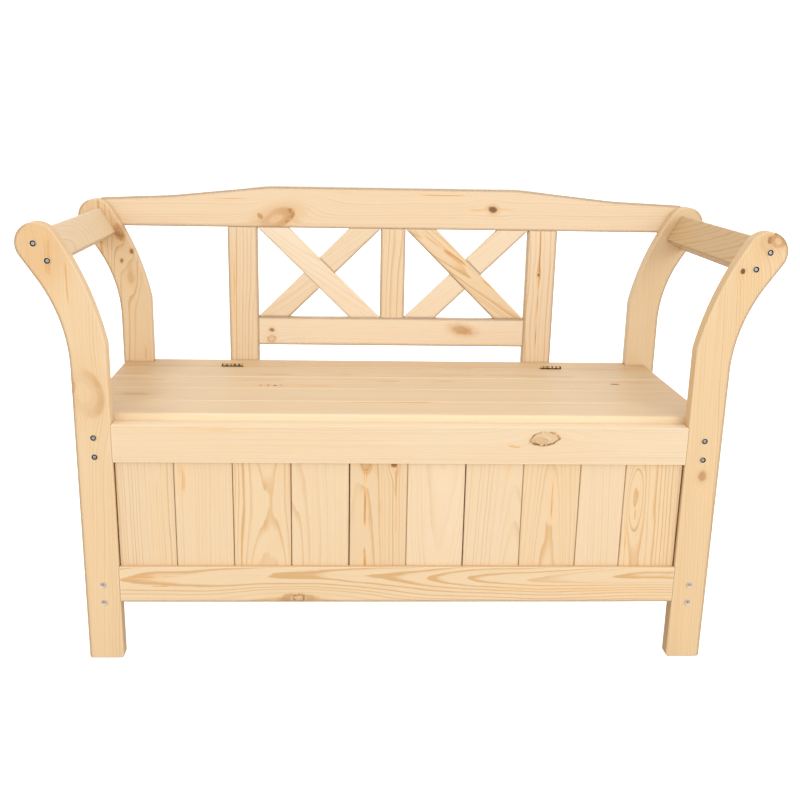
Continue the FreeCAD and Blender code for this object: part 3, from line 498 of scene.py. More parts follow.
# Per piece: how its board lies, then what makes it its own. Marks are in millimetres of the frame.
SEAT = dict(edge=0.8, seam_shade_dust=0.0, shade=0.55, dark_sides=())
SIDE_ROW, REAR_ROW = (-0.2, 0.1), (-0.486, 0.1)        # where a row of boards starts, and its pitch
PINE = {
    "front_apron": ("X", dict(
        pith=(0.14, 0.05), lean=(0.0, 0.03), ring=0.004, seed=1.0, strength=0.4, warmth=-0.11, seam_shade_dust=0.1,
        # The apron's top face gets a painted highlight.
        edge=0.6, faces=[("Z", PAINTED_HIGHLIGHT, 0.55)],
        knots=[knot(243, 411.5, 12, 2.0, 0.2, 1.0, -8, side=(-0.06, -0.16), reach=2.2, hollow=0.6,
                    rim_width=0.13, stained=0.1),
               knot(236, 408, 6, 2.0, 0.3, 0.5, reach=0.5, bend=0.0, lift=0.0, stained=0.0)],
        streaks=[(192, 405, 17, 2.4, 1.3), (285, 429, 16, 1.6, 1.0), (-480, 427, 60, 7, 0.45),
                 (-250, 400, 330, 50, 0.28), (-330, 424, 120, 9, 0.6), (-120, 428, 90, 4, 0.35)])),
    "front_lower_rail": ("X", dict(
        pith=(0.012, 0.045), lean=(0.01, -0.03), ring=0.0048, wander=0.007, strength=1.0, seed=2.0,
        warmth=0.02, edge=0.5,
        knots=[knot(-179, 115, 9.5, 3.5, 0.5, 0.55, side=(-0.3, 0.2), reach=3.2, hollow=1.0, stained=0.15),
               knot(-178, 116, 6.5, 1.5, 0.12, 0.85, reach=0.1, stained=0.0)],
        # The streak at 0, 99 is painted shade along the rail's bottom edge.
        streaks=[(-450, 155, 40, 4, 0.9), (-400, 157, 30, 3, 0.8), (0, 99, 900, 2.0, 0.9),
                 (290, 134, 190, 7, 0.55), (390, 128, 90, 4, 0.6), (-420, 138, 26, 3, 1.0)])),
    "rear_upper_rail": ("X", dict(pith=(0.09, -0.05), seed=3.0)),
    "rear_lower_rail": ("X", dict(pith=(0.02, -0.06), seed=4.0)),
    "left_front_leg": ("Z", dict(
        pith=(0.14, 0.03), lean=(0.05, 0.01), ring=0.0038, seed=5.0, strength=0.42, tone=-0.03, warmth=0.10,
        knots=[knot(-531, 487, 29, 1.45, 0.12, 0.42, 20, side=(-0.35, 0.75), reach=1.1, hollow=1.0,
                    rim_width=0.2, stained=0.16, bend=0.3, lift=0.35, uneven=0.22),
               knot(-551, 497, 7, 1.6, 0.25, 0.5, hollow=0.4), swirl(-592, 765, 15, 1.5, -0.9, 1.5),
               knot(-580, 730, 28, 1.7, 0.0, 0.0, stained=0.5, bend=0.0, lift=0.0)],
        streaks=[(-573, 712, 50, 13, 0.95), (-588, 715, 110, 40, 0.36), (-546, 668, 60, 3.0, 0.95),
                 (-584, 690, 60, 2.5, 0.8), (-562, 600, 90, 3.0, 0.6), (-596, 752, 26, 6, 0.5),
                 (-553, 540, 60, 3, 0.5), (-530, 160, 190, 40, 0.12)])),
    "right_front_leg": ("Z", dict(
        pith=(-0.16, 0.04), lean=(-0.05, 0.01), ring=0.0042, seed=6.0, strength=0.42, tone=-0.04, warmth=0.15,
        # The leg's side faces get painted shade.
        faces=[("X", PAINTED_SIDE_SHADE, 0.42)],
        knots=[knot(590, 747, 15, 1.2, 0.12, 0.0, stained=0.3, bend=0.3, lift=0.2),
               knot(606, 749, 12, 1.1, 0.6, 0.95, 40, side=(0.3, 0.35), hollow=0.8, rim_width=0.3),
               knot(592, 750, 5, 1.5, 0.7, 0.3, reach=0.5, stained=0.2),
               knot(552.6, 699, 4.4, 1.2, 1.3, 0.3), knot(521.2, 346, 7.5, 1.35, 0.5, 0.15, stained=0.5)],
        streaks=[(552, 676, 30, 2, 0.9), (590, 780, 20, 6, 0.7), (535, 302, 30, 9, 0.35),
                 (540, 172, 20, 5, 0.4)])),
    "left_rear_leg": ("Z", dict(
        pith=(0.05, 0.04), seed=7.0, strength=0.6, tone=-0.08, warmth=0.09,
        knots=[knot(-545.5, 706, 11.5, 1.5, 0.72, 0.35, 12, side=(-0.6, -0.4), stained=0.35),
               knot(-523, 668, 4.8, 1.2, 0.8, 0.3), knot(-544, 649, 3.6, 1.4, 0.75, 0.3),
               knot(-505, 653, 3.8, 1.2, 0.8, 0.3),
               knot(-527, 616, 8, 1.7, 0.24, 0.1, side=(-0.5, 0), stained=0.3)],
        streaks=[(-545, 628, 14, 1.6, 1.1), (-545, 600, 30, 2.0, 0.9), (-545, 672, 12, 2.0, 0.6)])),
    "right_rear_leg": ("Z", dict(pith=(-0.07, 0.05), seed=8.0, strength=0.16, tone=-0.11, warmth=0.08,
                                 stripe=0.1)),
    "left_upper_side_rail": ("Y", dict(pith=(0.04, -0.05), seed=9.0)),
    "right_upper_side_rail": ("Y", dict(pith=(0.05, 0.05), seed=10.0)),
    "left_lower_side_rail": ("Y", dict(pith=(0.03, -0.05), seed=11.0)),
    "right_lower_side_rail": ("Y", dict(pith=(-0.04, 0.05), seed=12.0)),
    "left_armrest": ("left arm", dict(pith=(0.05, 0.04), lean=(0.25, 0.08), seed=13.0, strength=0.35,
                                      tone=-0.04, warmth=-0.02)),
    "right_armrest": ("right arm", dict(pith=(0.10, 0.02), lean=(-0.2, 0.0), ring=0.009, seed=14.0,
                                        wander=0.003, strength=0.6, tone=-0.24, warmth=0.24)),
    "hinge_strip": ("flat X", dict(pith=(0.12, 0.04), seed=15.0, strength=0.6, tone=-0.08, warmth=0.12,
                                   **dict(SEAT, edge=0.15, seam_shade_dust=0.6))),
    "lid_board_1": ("flat X", dict(pith=(0.10, 0.05), seed=16.0, strength=0.4, tone=-0.03, warmth=-0.03,
                                   # The lid's front face gets a painted highlight.
                                   faces=[("Y", PAINTED_HIGHLIGHT, 0.7)],
                                   # The streak at -449, -128 is painted shade at the seat's left end.
                                   streaks=[(-10, -131, 130, 7, 1.1), (-449, -128, 60, 12, 0.5)], **SEAT)),
    "lid_board_2": ("flat X", dict(pith=(-0.09, 0.05), seed=17.0, strength=0.4, tone=-0.04,
                                   knots=[knot(-476, -80, 10, 3.0, 0.22, 0.0, stained=0.3)], **SEAT)),
    "lid_board_3": ("flat X", dict(
        pith=(0.02, 0.05), seed=18.0, strength=0.4, tone=-0.04,
        knots=[knot(425, 25, 5, 1.8, 0.95, 0.5), speck(-256, -5, 4.0), speck(-242, -5, 4.5),
               speck(-229, -6, 5.5), speck(-218, -4, 3.5)],
        streaks=[(-200, -4, 130, 9, 0.8), (-236, -4, 60, 5, 0.9)], **SEAT)),
    "lid_board_4": ("flat X", dict(pith=(-0.02, 0.05), seed=19.0, strength=0.4, tone=-0.06,
                                   # The streak at -454, 73 is painted shade at the seat's left end.
                                   streaks=[(-230, 86, 60, 6, 1.1), (-454, 73, 60, 9, 0.6)], **SEAT)),
    "left_lid_batten": ("flat Y", dict(pith=(0.04, 0.05), seed=20.0)),
    "middle_lid_batten": ("flat Y", dict(pith=(-0.04, 0.05), seed=21.0)),
    "right_lid_batten": ("flat Y", dict(pith=(0.02, 0.05), seed=22.0)),
    "floor_bearer": ("Y", dict(pith=(0.02, 0.05), seed=23.0)),
    "back_top_rail": ("X", dict(
        pith=(0.10, 0.06), ring=0.0042, seed=24.0, strength=0.26, warmth=-0.12, tone=0.01, stripe=0.18,
        knots=[knot(-236, 734, 17, 2.1, 0.3, 0.66, -21, side=(0.6, -0.15), reach=1.7, hollow=0.9,
                    rim_width=0.34, stained=0.55, uneven=0.45),
               knot(-268, 738, 4.5, 1.6, 0.5, 0.5, 50, reach=1.0, stained=0.3),
               knot(200.6, 757, 7, 1.35, 0.95, 0.2, 12, reach=2.6, stained=0.6)],
        streaks=[(98, 784, 80, 3.5, 0.85), (-90, 783, 36, 3, 0.6), (-325, 772, 60, 3, 0.7),
                 (172, 757, 30, 2.4, 0.9), (228, 758, 26, 2.0, 0.7)])),
    "lower_back_rail": ("X", dict(
        pith=(-0.10, 0.05), ring=0.0042, seed=25.0, strength=0.2, warmth=-0.28, tone=0.05, stripe=0.18,
        knots=[knot(147, 511, 8.5, 2.4, 0.42, 0.25, 10, side=(0.3, -0.2), stained=0.6, rim_width=0.3),
               knot(-248, 508, 4, 1.5, 0.7, 0.2), knot(-248.5, 489.5, 6.5, 1.3, 0.1, 0.6, stained=0.3)],
        streaks=[(-60, 481, 190, 4, 0.5), (-140, 518, 12, 2, 0.5)])),
    "left_back_post": ("Z", dict(pith=(0.06, 0.05), seed=26.0, warmth=-0.12,
                                 streaks=[(-324, 600, 110, 5, 0.75), (-306, 520, 90, 2, 0.6)])),
    "right_back_post": ("Z", dict(pith=(-0.05, 0.05), seed=27.0, warmth=-0.12, tone=0.02,
                                  knots=[knot(301, 627, 2.4, 1.6, 0.95, 0.3, reach=4.0)],
                                  streaks=[(301, 670, 115, 2.6, 1.55), (302, 530, 90, 2.0, 1.3)])),
    "centre_back_post": ("Z", dict(pith=(0.04, 0.05), seed=28.0, warmth=-0.10, strength=0.5)),
    "left_falling_brace": ("falling", dict(pith=(0.03, 0.05), seed=31.0, strength=0.2, warmth=-0.34,
                                           tone=0.06, seam_shade_dust=0.0, arris_dark=0.4, edge=0.1)),
    "left_rising_brace": ("rising", dict(
        pith=(-0.02, 0.045), seed=32.0, strength=0.45, warmth=-0.18, seam_shade_dust=0.0,
        streaks=[(-215, 640, 50, 6, 0.8), (-300, 590, 40, 8, 0.4)])),
    "right_falling_brace": ("falling", dict(
        pith=(0.004, 0.035), lean=(0.0, 0.04), ring=0.0045, seed=33.0, strength=0.8, warmth=-0.04, seam_shade_dust=0.2,
        streaks=[(125, 660, 42, 8, 1.2), (205, 600, 45, 5, 1.0), (80, 692, 34, 4, 0.8)])),
    "right_rising_brace": ("rising", dict(pith=(0.05, 0.05), seed=34.0, strength=0.2, warmth=-0.24,
                                          tone=0.04)),
    "left_side_boards": ("side Z", dict(row=SIDE_ROW, seed=40.0)),
    "right_side_boards": ("side Z", dict(row=SIDE_ROW, seed=50.0)),
    "rear_boards": ("Z", dict(row=REAR_ROW, seed=60.0)),
    "floor_boards": ("flat X", dict(row=SIDE_ROW, seed=70.0)),
    "front_board_01": ("Z", dict(pith=(-0.10, 0.02), lean=(0.0, 0.01), ring=0.0055, strength=0.5, seed=81.0,
                                 tone=-0.02, streaks=[(-430, 260, 130, 2, 0.6), (-420, 260, 120, 1.5, 0.7),
                                                      (-408, 260, 130, 1.5, 0.6)])),
    "front_board_02": ("Z", dict(pith=(0.12, 0.03), lean=(0.0, 0.02), strength=0.3, seed=82.0,
                                 streaks=[(-376, 335, 42, 11, 0.75), (-358, 270, 110, 1.5, 0.6)])),
    "front_board_03": ("Z", dict(
        pith=(0.008, 0.04), lean=(0.0, 0.0), ring=0.0044, strength=1.0, seed=83.0, warmth=0.03,
        knots=[swirl(-236, 285, 11, 3.2, 1.0, 3.0)])),
    "front_board_04": ("Z", dict(pith=(-0.05, 0.07), lean=(0.0, 0.01), strength=0.3, seed=84.0)),
    "front_board_05": ("Z", dict(
        pith=(-0.03, 0.05), lean=(0.0, 0.02), ring=0.0042, strength=0.6, seed=85.0, tone=-0.03, warmth=0.06,
        knots=[knot(-62, 362, 8, 1.3, 0.25, 0.6, stained=0.3), knot(-13, 362, 6, 1.0, 0.85, 0.5)],
        streaks=[(-10, 330, 42, 2.8, 1.6), (-8, 270, 60, 1.5, 1.0), (-62, 285, 60, 4.0, 1.3),
                 (-62, 190, 30, 4.0, 1.3), (-62, 340, 24, 3.0, 1.2), (-36, 250, 110, 1.6, 0.8)])),
    "front_board_06": ("Z", dict(pith=(0.008, 0.05), lean=(0.0, -0.07), strength=0.3, seed=86.0,
                                 warmth=-0.09, tone=0.02)),
    "front_board_07": ("Z", dict(pith=(0.04, 0.05), lean=(0.0, 0.03), strength=0.32, seed=87.0,
                                 warmth=-0.04, streaks=[(184, 352, 22, 10, 0.5), (190, 250, 80, 2, 0.5)])),
    "front_board_08": ("Z", dict(
        pith=(0.0, 0.03), lean=(0.0, 0.05), wander=0.003, strength=0.4, seed=88.0, tone=-0.01, warmth=0.06,
        streaks=[(264, 300, 60, 5, 0.9), (262, 240, 40, 3, 0.6)])),
    "front_board_09": ("Z", dict(pith=(-0.07, 0.04), lean=(0.0, 0.02), strength=0.25, seed=89.0,
                                 warmth=-0.04)),
    "front_board_10": ("Z", dict(
        pith=(-0.02, 0.045), lean=(0.0, 0.0), ring=0.0044, strength=0.72, seed=90.0, warmth=0.05,
        knots=[swirl(409, 305, 13, 2.5, -1.0, 1.3)],
        streaks=[(399, 230, 50, 3, 0.8), (413, 272, 16, 3, 0.9), (443, 355, 20, 2.5, 1.3)])),
}
LEFT_SIDE, RIGHT_SIDE, UNDERSIDE, TOP_SIDE = (-1, 0, 0), (1, 0, 0), (0, 0, -1), (0, 0, 1)
# Pieces whose painted edge shade faces other ways than down.
DARK_SIDES = {"left_front_leg": [LEFT_SIDE], "right_front_leg": [RIGHT_SIDE],
              "left_rear_leg": [LEFT_SIDE], "right_rear_leg": [RIGHT_SIDE],
              "back_top_rail": [TOP_SIDE, UNDERSIDE], "lower_back_rail": [TOP_SIDE, UNDERSIDE],
              "left_back_post": [LEFT_SIDE, RIGHT_SIDE], "right_back_post": [LEFT_SIDE, RIGHT_SIDE],
              "centre_back_post": [LEFT_SIDE, RIGHT_SIDE], "front_lower_rail": [UNDERSIDE],
              "front_apron": []}
for piece, sides in DARK_SIDES.items():
    PINE[piece][1]["dark_sides"] = sides
# The front boards' eased edges get painted seam shade in place of a painted highlight.
for piece, (_, values) in PINE.items():
    if piece.startswith("front_board"):
        values.update(edge_tint=PAINTED_SEAM_SHADE, edge=0.45, edge_width=0.0020, dark_sides=())
BAY_HEIGHT, BAY_WIDTH = 181.0, 249.5                   # clear size of a bay, whose diagonal gives the lay
BRACE_RISE = math.atan2(BAY_HEIGHT, BAY_WIDTH)
ARM_TILT = math.radians(59.5)
for way, sign in (("rising", 1), ("falling", -1)):
    angle = sign * BRACE_RISE
    LAY[way] = ((math.cos(angle), 0, math.sin(angle)), (-math.sin(angle), 0, math.cos(angle)), "XZ")
for side, sign in (("left", 1), ("right", -1)):
    LAY[side + " arm"] = ((0, 1, 0), (sign * math.cos(ARM_TILT), 0, math.sin(ARM_TILT)), "YZ")

for piece, (lay, values) in PINE.items():
    dress(piece, pine("pine_" + piece, middle(piece), LAY[lay], **values))


# Metal
PALE_COUNTERSINK = (0.66, 0.58, 0.50, 1.0)
PALE_FADE = 0.02              # over how much height a countersink turns pale


def metal(name, colour, dark, rough, seed, knuckle=0.0, pale_below=None):
    """Plain metal, with a painted highlight on its eased edges and painted shade in its seams; knuckle
    is the length of a hinge's knuckles, whose ends then get painted shade, and pale_below the height
    under which a countersink turns pale."""
    material = bpy.data.materials.new(name)
    material.use_nodes = True
    tree = material.node_tree
    shader = tree.nodes["Principled BSDF"]
    coords = node(tree, "ShaderNodeTexCoord").outputs["Object"]
    blotch = noise(tree, vectors(tree, "ADD", coords, (seed, 0.0, 0.0)), 240.0, 4.0)
    # Painted shade in the seams, from ambient occlusion.
    seam_shade_dust = use(tree, SEAM_SHADE_AND_DUST, {"Distance": 0.003, "Amount": 0.7})["Mask"]
    # Painted highlight on the eased edges.
    painted_edge_mask = use(tree, EASED_EDGE_MASK, {"Radius": 0.0006, "Amount": 0.6})["Mask"]
    shade = mixed(tree, rise(tree, blotch, 0.35, 0.7), (*colour, 1.0), (*dark, 1.0))
    shade = mixed(tree, painted_edge_mask, shade, tuple(min(1.0, c * 1.5) for c in colour) + (1.0,))
    shade = mixed(tree, seam_shade_dust, shade, tuple(c * 0.3 for c in dark) + (1.0,))
    # Painted shade in the gaps between the knuckles.
    if knuckle:
        along, _, _ = parts_of(tree, coords)
        step = maths(tree, "FRACT", maths(tree, "DIVIDE", along, knuckle))
        joint = rise(tree, maths(tree, "ABSOLUTE", maths(tree, "SUBTRACT", step, 0.5)), 0.36, 0.46)
        shade = mixed(tree, joint, shade, tuple(c * 0.15 for c in dark) + (1.0,))
    if pale_below:
        _, _, height = parts_of(tree, coords)
        low = rise(tree, height, pale_below + PALE_FADE, pale_below)
        shade = mixed(tree, low, shade, PALE_COUNTERSINK)
    feed(tree, shader.inputs["Base Color"], shade)
    feed(tree, shader.inputs["Roughness"], maths(tree, "MULTIPLY_ADD", blotch, 0.25, rough - 0.12))
    shader.inputs["Metallic"].default_value = 1.0
    bump = node(tree, "ShaderNodeBump", {"Height": blotch, "Strength": 0.2, "Distance": 0.0002})
    feed(tree, shader.inputs["Normal"], bump.outputs[0])
    return material


SCREW_STEEL = metal("screw_steel", (0.62, 0.61, 0.60), (0.40, 0.38, 0.36), rough=0.34, seed=1.0)
# A near-black metal that paints the shadow in the countersink round each screw head; below pale_below it
# turns pale.
SCREW_SHADOW_RING = metal("screw_countersink", (0.07, 0.055, 0.045), (0.035, 0.026, 0.02), rough=0.6, seed=3.0,
                   pale_below=0.2)
BRASS = metal("aged_brass", (0.70, 0.52, 0.27), (0.12, 0.07, 0.035), rough=0.25, seed=2.0,
              knuckle=0.0086)
for piece in NODES:
    if "screws" in piece:
        dress(piece, SCREW_STEEL)
    elif "hinge" in piece and piece != "hinge_strip":
        dress(piece, BRASS)


# Screws
HEAD_SIDES = 28
SHANK_SIDES = 12


def make_screw_tree():
    """Countersunk screws with a cross drive, one on each point: the head's face lies on the point."""
    tree = bpy.data.node_groups.new("countersunk_screws", "GeometryNodeTree")
    ports = [("Points", "NodeSocketGeometry", None), ("Head Radius", "NodeSocketFloat", 0.005),
             ("Head Depth", "NodeSocketFloat", 0.003), ("Dish Depth", "NodeSocketFloat", 0.001),
             ("Shank Radius", "NodeSocketFloat", 0.0022), ("Length", "NodeSocketFloat", 0.07),
             ("Drive Width", "NodeSocketFloat", 0.0009), ("Drive Depth", "NodeSocketFloat", 0.0022),
             ("Facing", "NodeSocketVector", (0.0, -1.0, 0.0)), ("Seed", "NodeSocketInt", 0),
             ("Head Metal", "NodeSocketMaterial", None), ("Shadow Ring Metal", "NodeSocketMaterial", None)]
    for label, kind, value in ports:
        socket = tree.interface.new_socket(label, in_out="INPUT", socket_type=kind)
        if value is not None:
            socket.default_value = value
    tree.interface.new_socket("Screws", in_out="OUTPUT", socket_type="NodeSocketGeometry")
    given = tree.nodes.new("NodeGroupInput").outputs
    out = tree.nodes.new("NodeGroupOutput").inputs

    def moved(mesh, depth):
        return node(tree, "GeometryNodeTransform",
                    {"Geometry": mesh, "Translation": joined(tree, 0.0, 0.0, depth)}).outputs[0]

    def negative(value):
        return maths(tree, "MULTIPLY", value, -1.0)

    head = node(tree, "GeometryNodeMeshCone",
                {"Vertices": HEAD_SIDES, "Radius Top": given["Head Radius"],
                 "Radius Bottom": given["Shank Radius"], "Depth": given["Head Depth"]}).outputs["Mesh"]
    head = moved(head, negative(given["Head Depth"]))
    dish = node(tree, "GeometryNodeMeshCone",
                {"Vertices": HEAD_SIDES, "Radius Top": maths(tree, "MULTIPLY", given["Head Radius"], 1.12),
                 "Radius Bottom": maths(tree, "MULTIPLY", given["Head Radius"], 0.5),
                 "Depth": maths(tree, "MULTIPLY", given["Dish Depth"], 1.4)}).outputs["Mesh"]
    dish = moved(dish, negative(given["Dish Depth"]))
    deep = maths(tree, "MULTIPLY", given["Drive Depth"], 2.0)
    long_arm = maths(tree, "MULTIPLY", given["Head Radius"], 0.72)
    arms = [node(tree, "GeometryNodeMeshCube", {"Size": joined(tree, *size)}).outputs["Mesh"]
            for size in ((long_arm, given["Drive Width"], deep), (given["Drive Width"], long_arm, deep))]
    cut = node(tree, "GeometryNodeMeshBoolean", {"Mesh 1": head}, operation="DIFFERENCE", solver="EXACT")
    for tool in (dish, *arms):
        tree.links.new(tool, cut.inputs["Mesh 2"])
    spot = node(tree, "GeometryNodeInputPosition").outputs[0]
    x, y, z = parts_of(tree, spot)
    out_from_axis = maths(tree, "SQRT", maths(tree, "MULTIPLY_ADD", x, x, maths(tree, "MULTIPLY", y, y)))
    # The outer ring of each head gets the near-black metal, a painted shadow in the countersink.
    on_ring = maths(tree, "GREATER_THAN", out_from_axis, maths(tree, "MULTIPLY", given["Head Radius"], 0.55))
    steel = node(tree, "GeometryNodeSetMaterial",
                 {"Geometry": cut.outputs["Mesh"], "Material": given["Head Metal"]})
    ringed = node(tree, "GeometryNodeSetMaterial",
                  {"Geometry": steel.outputs[0], "Selection": on_ring, "Material": given["Shadow Ring Metal"]})
    run = maths(tree, "SUBTRACT", given["Length"], given["Head Depth"])
    shank = node(tree, "GeometryNodeMeshCylinder",
                 {"Vertices": SHANK_SIDES, "Radius": given["Shank Radius"], "Depth": run}).outputs["Mesh"]
    shank = moved(shank, negative(maths(tree, "MULTIPLY_ADD", run, 0.5, given["Head Depth"])))
    shank = node(tree, "GeometryNodeSetMaterial",
                 {"Geometry": shank, "Material": given["Head Metal"]}).outputs[0]
    screw = node(tree, "GeometryNodeJoinGeometry")
    for part in (ringed.outputs[0], shank):
        tree.links.new(part, screw.inputs[0])
    face = node(tree, "FunctionNodeAlignRotationToVector", {"Vector": given["Facing"]}, axis="Z")
    twist = node(tree, "FunctionNodeRandomValue", {"Seed": given["Seed"]}, data_type="FLOAT_VECTOR")
    twist.inputs["Min"].default_value = (0.0, 0.0, 0.0)
    twist.inputs["Max"].default_value = (0.0, 0.0, 2 * math.pi)
    turned = node(tree, "FunctionNodeRotateRotation",
                  {"Rotation": face.outputs[0], "Rotate By": twist.outputs[0]}, rotation_space="LOCAL")
    spread = node(tree, "GeometryNodeInstanceOnPoints",
                  {"Points": given["Points"], "Instance": screw.outputs[0], "Rotation": turned.outputs[0]})
    real = node(tree, "GeometryNodeRealizeInstances", {"Geometry": spread.outputs[0]})
    tree.links.new(real.outputs[0], out["Screws"])
    return tree


SCREW_TREE = make_screw_tree()


def add_screws(name, body, slot, points, facing, seed, stands_for=None, **sizes):
    """A set of screws with their faces at points, in millimetres of the frame, as one plain mesh."""
    cloud = bpy.data.meshes.new(name + "_points")
    cloud.from_pydata([tuple(c * MM for c in p) for p in points], [], [])
    holder = bpy.data.objects.new(name + "_points", cloud)
    bpy.context.scene.collection.objects.link(holder)
    modifier = holder.modifiers.new("screws", "NODES")
    modifier.node_group = SCREW_TREE
    values = {"Facing": facing, "Seed": seed, "Head Metal": SCREW_STEEL, "Shadow Ring Metal": SCREW_SHADOW_RING,
              **{label: size * MM for label, size in sizes.items()}}
    for item in SCREW_TREE.interface.items_tree:
        label = item.name.replace(" ", "_").lower()
        for key, value in values.items():
            if key.replace(" ", "_").lower() == label:
                modifier[item.identifier] = value
    graph = bpy.context.evaluated_depsgraph_get()
    made = bpy.data.objects.new(name, bpy.data.meshes.new_from_object(holder.evaluated_get(graph)))
    bpy.context.scene.collection.objects.link(made)
    bpy.data.objects.remove(holder)
    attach(made, body)
    if stands_for:
        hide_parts(stands_for)


# Places of the screws, in millimetres of the frame.
FORWARD, BACKWARD, DOWN = (0, -1, 0), (0, 1, 0), (0, 0, -1)
LEG_FRONT, LEG_BACK, RAIL_BACK = -245, 231, 245
FIXED_LEAF_FACE, MOVING_LEAF_FACE = 159.25, 159.15
HINGE_MIDDLE, HINGE_SCREW_APART, HINGE_SCREW_HEIGHT = 324.4, 13, 436.5
BATTEN_UNDERSIDE, BATTEN_STAGGER = 409, 9
LEG_PLACES = [(s * x, z) for s in (-1, 1) for x, z in ((574.7, 702.3), (595.3, 729.7), (520, 374.95),
                                                       (520, 408.45), (520, 107.25), (520, 140.75))]
BACK_PLACES = [(s * x, z) for s in (-1, 1) for x, z in ((577, 726.8), (577, 748.4), (304.5, 386.9),
                                                        (304.5, 409.3))]
BATTEN_PLACES = []
for batten in (-379.75, 0.0, 379.75):
    for low, high in ((-205, -125), (-124, -29), (-28, 66.5), (67.5, 146)):
        quarter = (high - low) / 4
        BATTEN_PLACES += [(batten - BATTEN_STAGGER, low + quarter, BATTEN_UNDERSIDE),
                          (batten + BATTEN_STAGGER, high - quarter, BATTEN_UNDERSIDE)]
HINGE_PLACES = [(s * HINGE_MIDDLE + way * HINGE_SCREW_APART, HINGE_SCREW_HEIGHT)
                for s in (-1, 1) for way in (-1, 1)]
LEG_SCREW = dict(head_radius=5.0, head_depth=3.0, dish_depth=1.1, shank_radius=2.2, length=70.0,
                 drive_width=0.9, drive_depth=2.4)
BACK_SCREW = dict(head_radius=3.8, head_depth=2.4, dish_depth=0.5, shank_radius=1.8, length=38.0,
                  drive_width=0.8, drive_depth=1.8)
HINGE_SCREW = dict(head_radius=2.4, head_depth=0.7, dish_depth=0.12, shank_radius=1.1, length=14.0,
                   drive_width=0.6, drive_depth=0.5)
add_screws("front_leg_screw_set", "frame", "screw_steel", [(x, LEG_FRONT, z) for x, z in LEG_PLACES],
           FORWARD, 1, "front_leg_screws", **LEG_SCREW)
add_screws("rear_leg_screw_set", "frame", "screw_steel", [(x, LEG_BACK, z) for x, z in LEG_PLACES],
           BACKWARD, 2, "rear_leg_screws", **LEG_SCREW)
add_screws("back_screw_set", "frame", "screw_steel", [(x, RAIL_BACK, z) for x, z in BACK_PLACES],
           BACKWARD, 3, "back_screws", **BACK_SCREW)
add_screws("batten_screw_set", "lid", "screw_steel", BATTEN_PLACES,
           DOWN, 4, **dict(BACK_SCREW, length=30.0))
add_screws("fixed_leaf_screw_set", "frame", "brass", [(x, FIXED_LEAF_FACE, z) for x, z in HINGE_PLACES],
           FORWARD, 5, **HINGE_SCREW)
add_screws("moving_leaf_screw_set", "lid", "brass", [(x, MOVING_LEAF_FACE, z) for x, z in HINGE_PLACES],
           BACKWARD, 6, **HINGE_SCREW)


# Floor, light and camera
FLOOR_GREY = (0.74, 0.74, 0.74)
FLOOR_GLOW = 0.8              # how much the floor shines towards the camera, to show white
FLOOR_DROP = 0.0005           # how far it lies under the feet
SKY_STRENGTH = 1.05
LAMP_COLOUR = (1.0, 0.99, 0.97)
AIM = (0, 0, 0.45)
# Place, width and height, and power of each lamp.
LAMPS = {"key_light": ((3.8, -6.2, 2.6), (3.6, 2.8), 116.0),
         "fill_light": ((-3.4, -6.2, 2.4), (3.2, 2.6), 46.0)}
CAMERA_PLACE = (-0.10667, -2.03485, 0.92436)
CAMERA_PITCH, CAMERA_YAW, CAMERA_ROLL = -0.3016, 0.0441, 0.0177
CAMERA_LENS, CAMERA_SENSOR = 49.46, 36.0
CAMERA_SHIFT = (0.0176, 0.0789)
CAMERA_REACH = 60.0


def stage_material(name, colour):
    material = bpy.data.materials.new(name)
    material.use_nodes = True
    shader = material.node_tree.nodes["Principled BSDF"]
    shader.inputs["Base Color"].default_value = (*colour, 1.0)
    shader.inputs["Roughness"].default_value = 0.9
    return material


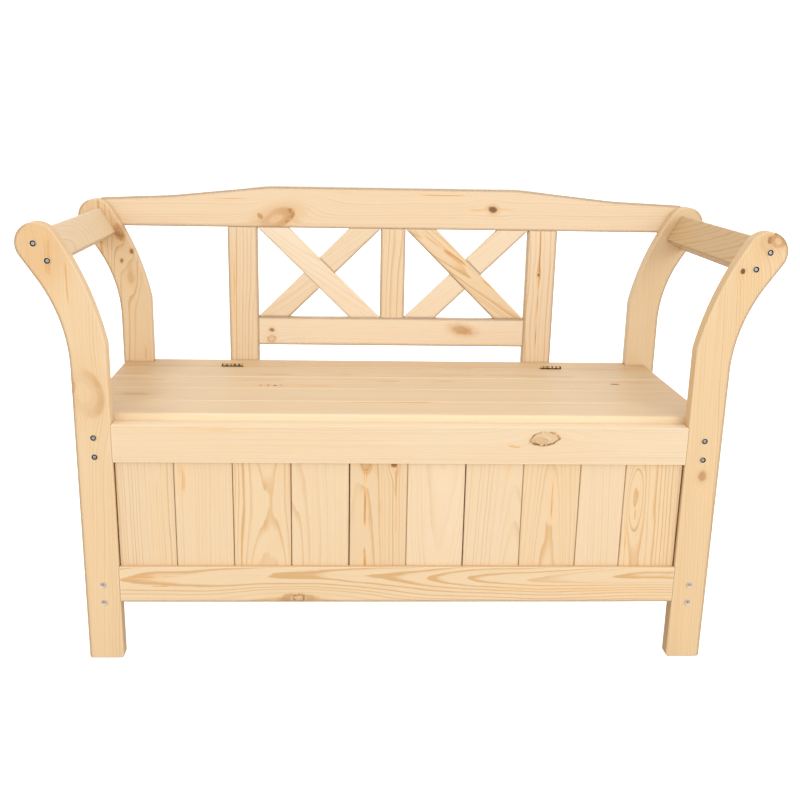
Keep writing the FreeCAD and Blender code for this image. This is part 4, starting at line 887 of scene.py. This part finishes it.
def studio():
    bpy.ops.mesh.primitive_circle_add(vertices=96, radius=14.0, fill_type="NGON",
                                      location=(0, 0, -FLOOR_DROP))
    floor = bpy.context.object
    floor.name = "studio_floor"
    paint = stage_material("studio_floor", FLOOR_GREY)
    glow = paint.node_tree.nodes["Principled BSDF"]
    glow.inputs["Emission Color"].default_value = (1.0, 1.0, 1.0, 1.0)
    seen = node(paint.node_tree, "ShaderNodeLightPath").outputs["Is Camera Ray"]
    shine = maths(paint.node_tree, "MULTIPLY", seen, FLOOR_GLOW)
    feed(paint.node_tree, glow.inputs["Emission Strength"], shine)
    floor.data.materials.append(paint)
    world = bpy.data.worlds.new("studio")
    world.use_nodes = True
    sky = world.node_tree.nodes["Background"]
    sky.inputs["Color"].default_value = (1.0, 1.0, 1.0, 1.0)
    sky.inputs["Strength"].default_value = SKY_STRENGTH
    bpy.context.scene.world = world
    for name, (place, size, power) in LAMPS.items():
        lamp = bpy.data.lights.new(name, "AREA")
        lamp.shape = "RECTANGLE"
        lamp.size, lamp.size_y = size
        lamp.energy = power
        lamp.color = LAMP_COLOUR
        holder = bpy.data.objects.new(name, lamp)
        bpy.context.scene.collection.objects.link(holder)
        holder.location = place
        holder.rotation_euler = (Vector(AIM) - Vector(place)).to_track_quat("-Z", "Y").to_euler()


def camera():
    """The photograph's camera, level first and then rolled a little."""
    pitch, yaw, roll = CAMERA_PITCH, CAMERA_YAW, CAMERA_ROLL
    forward = Vector((math.sin(yaw) * math.cos(pitch), math.cos(yaw) * math.cos(pitch), math.sin(pitch)))
    level = Vector((math.cos(yaw), -math.sin(yaw), 0.0))
    above = level.cross(forward)
    right = math.cos(roll) * level + math.sin(roll) * above
    up = -math.sin(roll) * level + math.cos(roll) * above
    lens = bpy.data.cameras.new("camera")
    lens.sensor_width = CAMERA_SENSOR
    lens.lens = CAMERA_LENS
    lens.shift_x, lens.shift_y = CAMERA_SHIFT
    lens.clip_end = CAMERA_REACH
    eye = bpy.data.objects.new("camera", lens)
    bpy.context.scene.collection.objects.link(eye)
    turn = Matrix((right, up, -forward)).transposed().to_4x4()
    eye.matrix_world = Matrix.Translation(CAMERA_PLACE) @ turn
    bpy.context.scene.camera = eye


studio()
camera()
bpy.context.scene.view_settings.view_transform = "Standard"
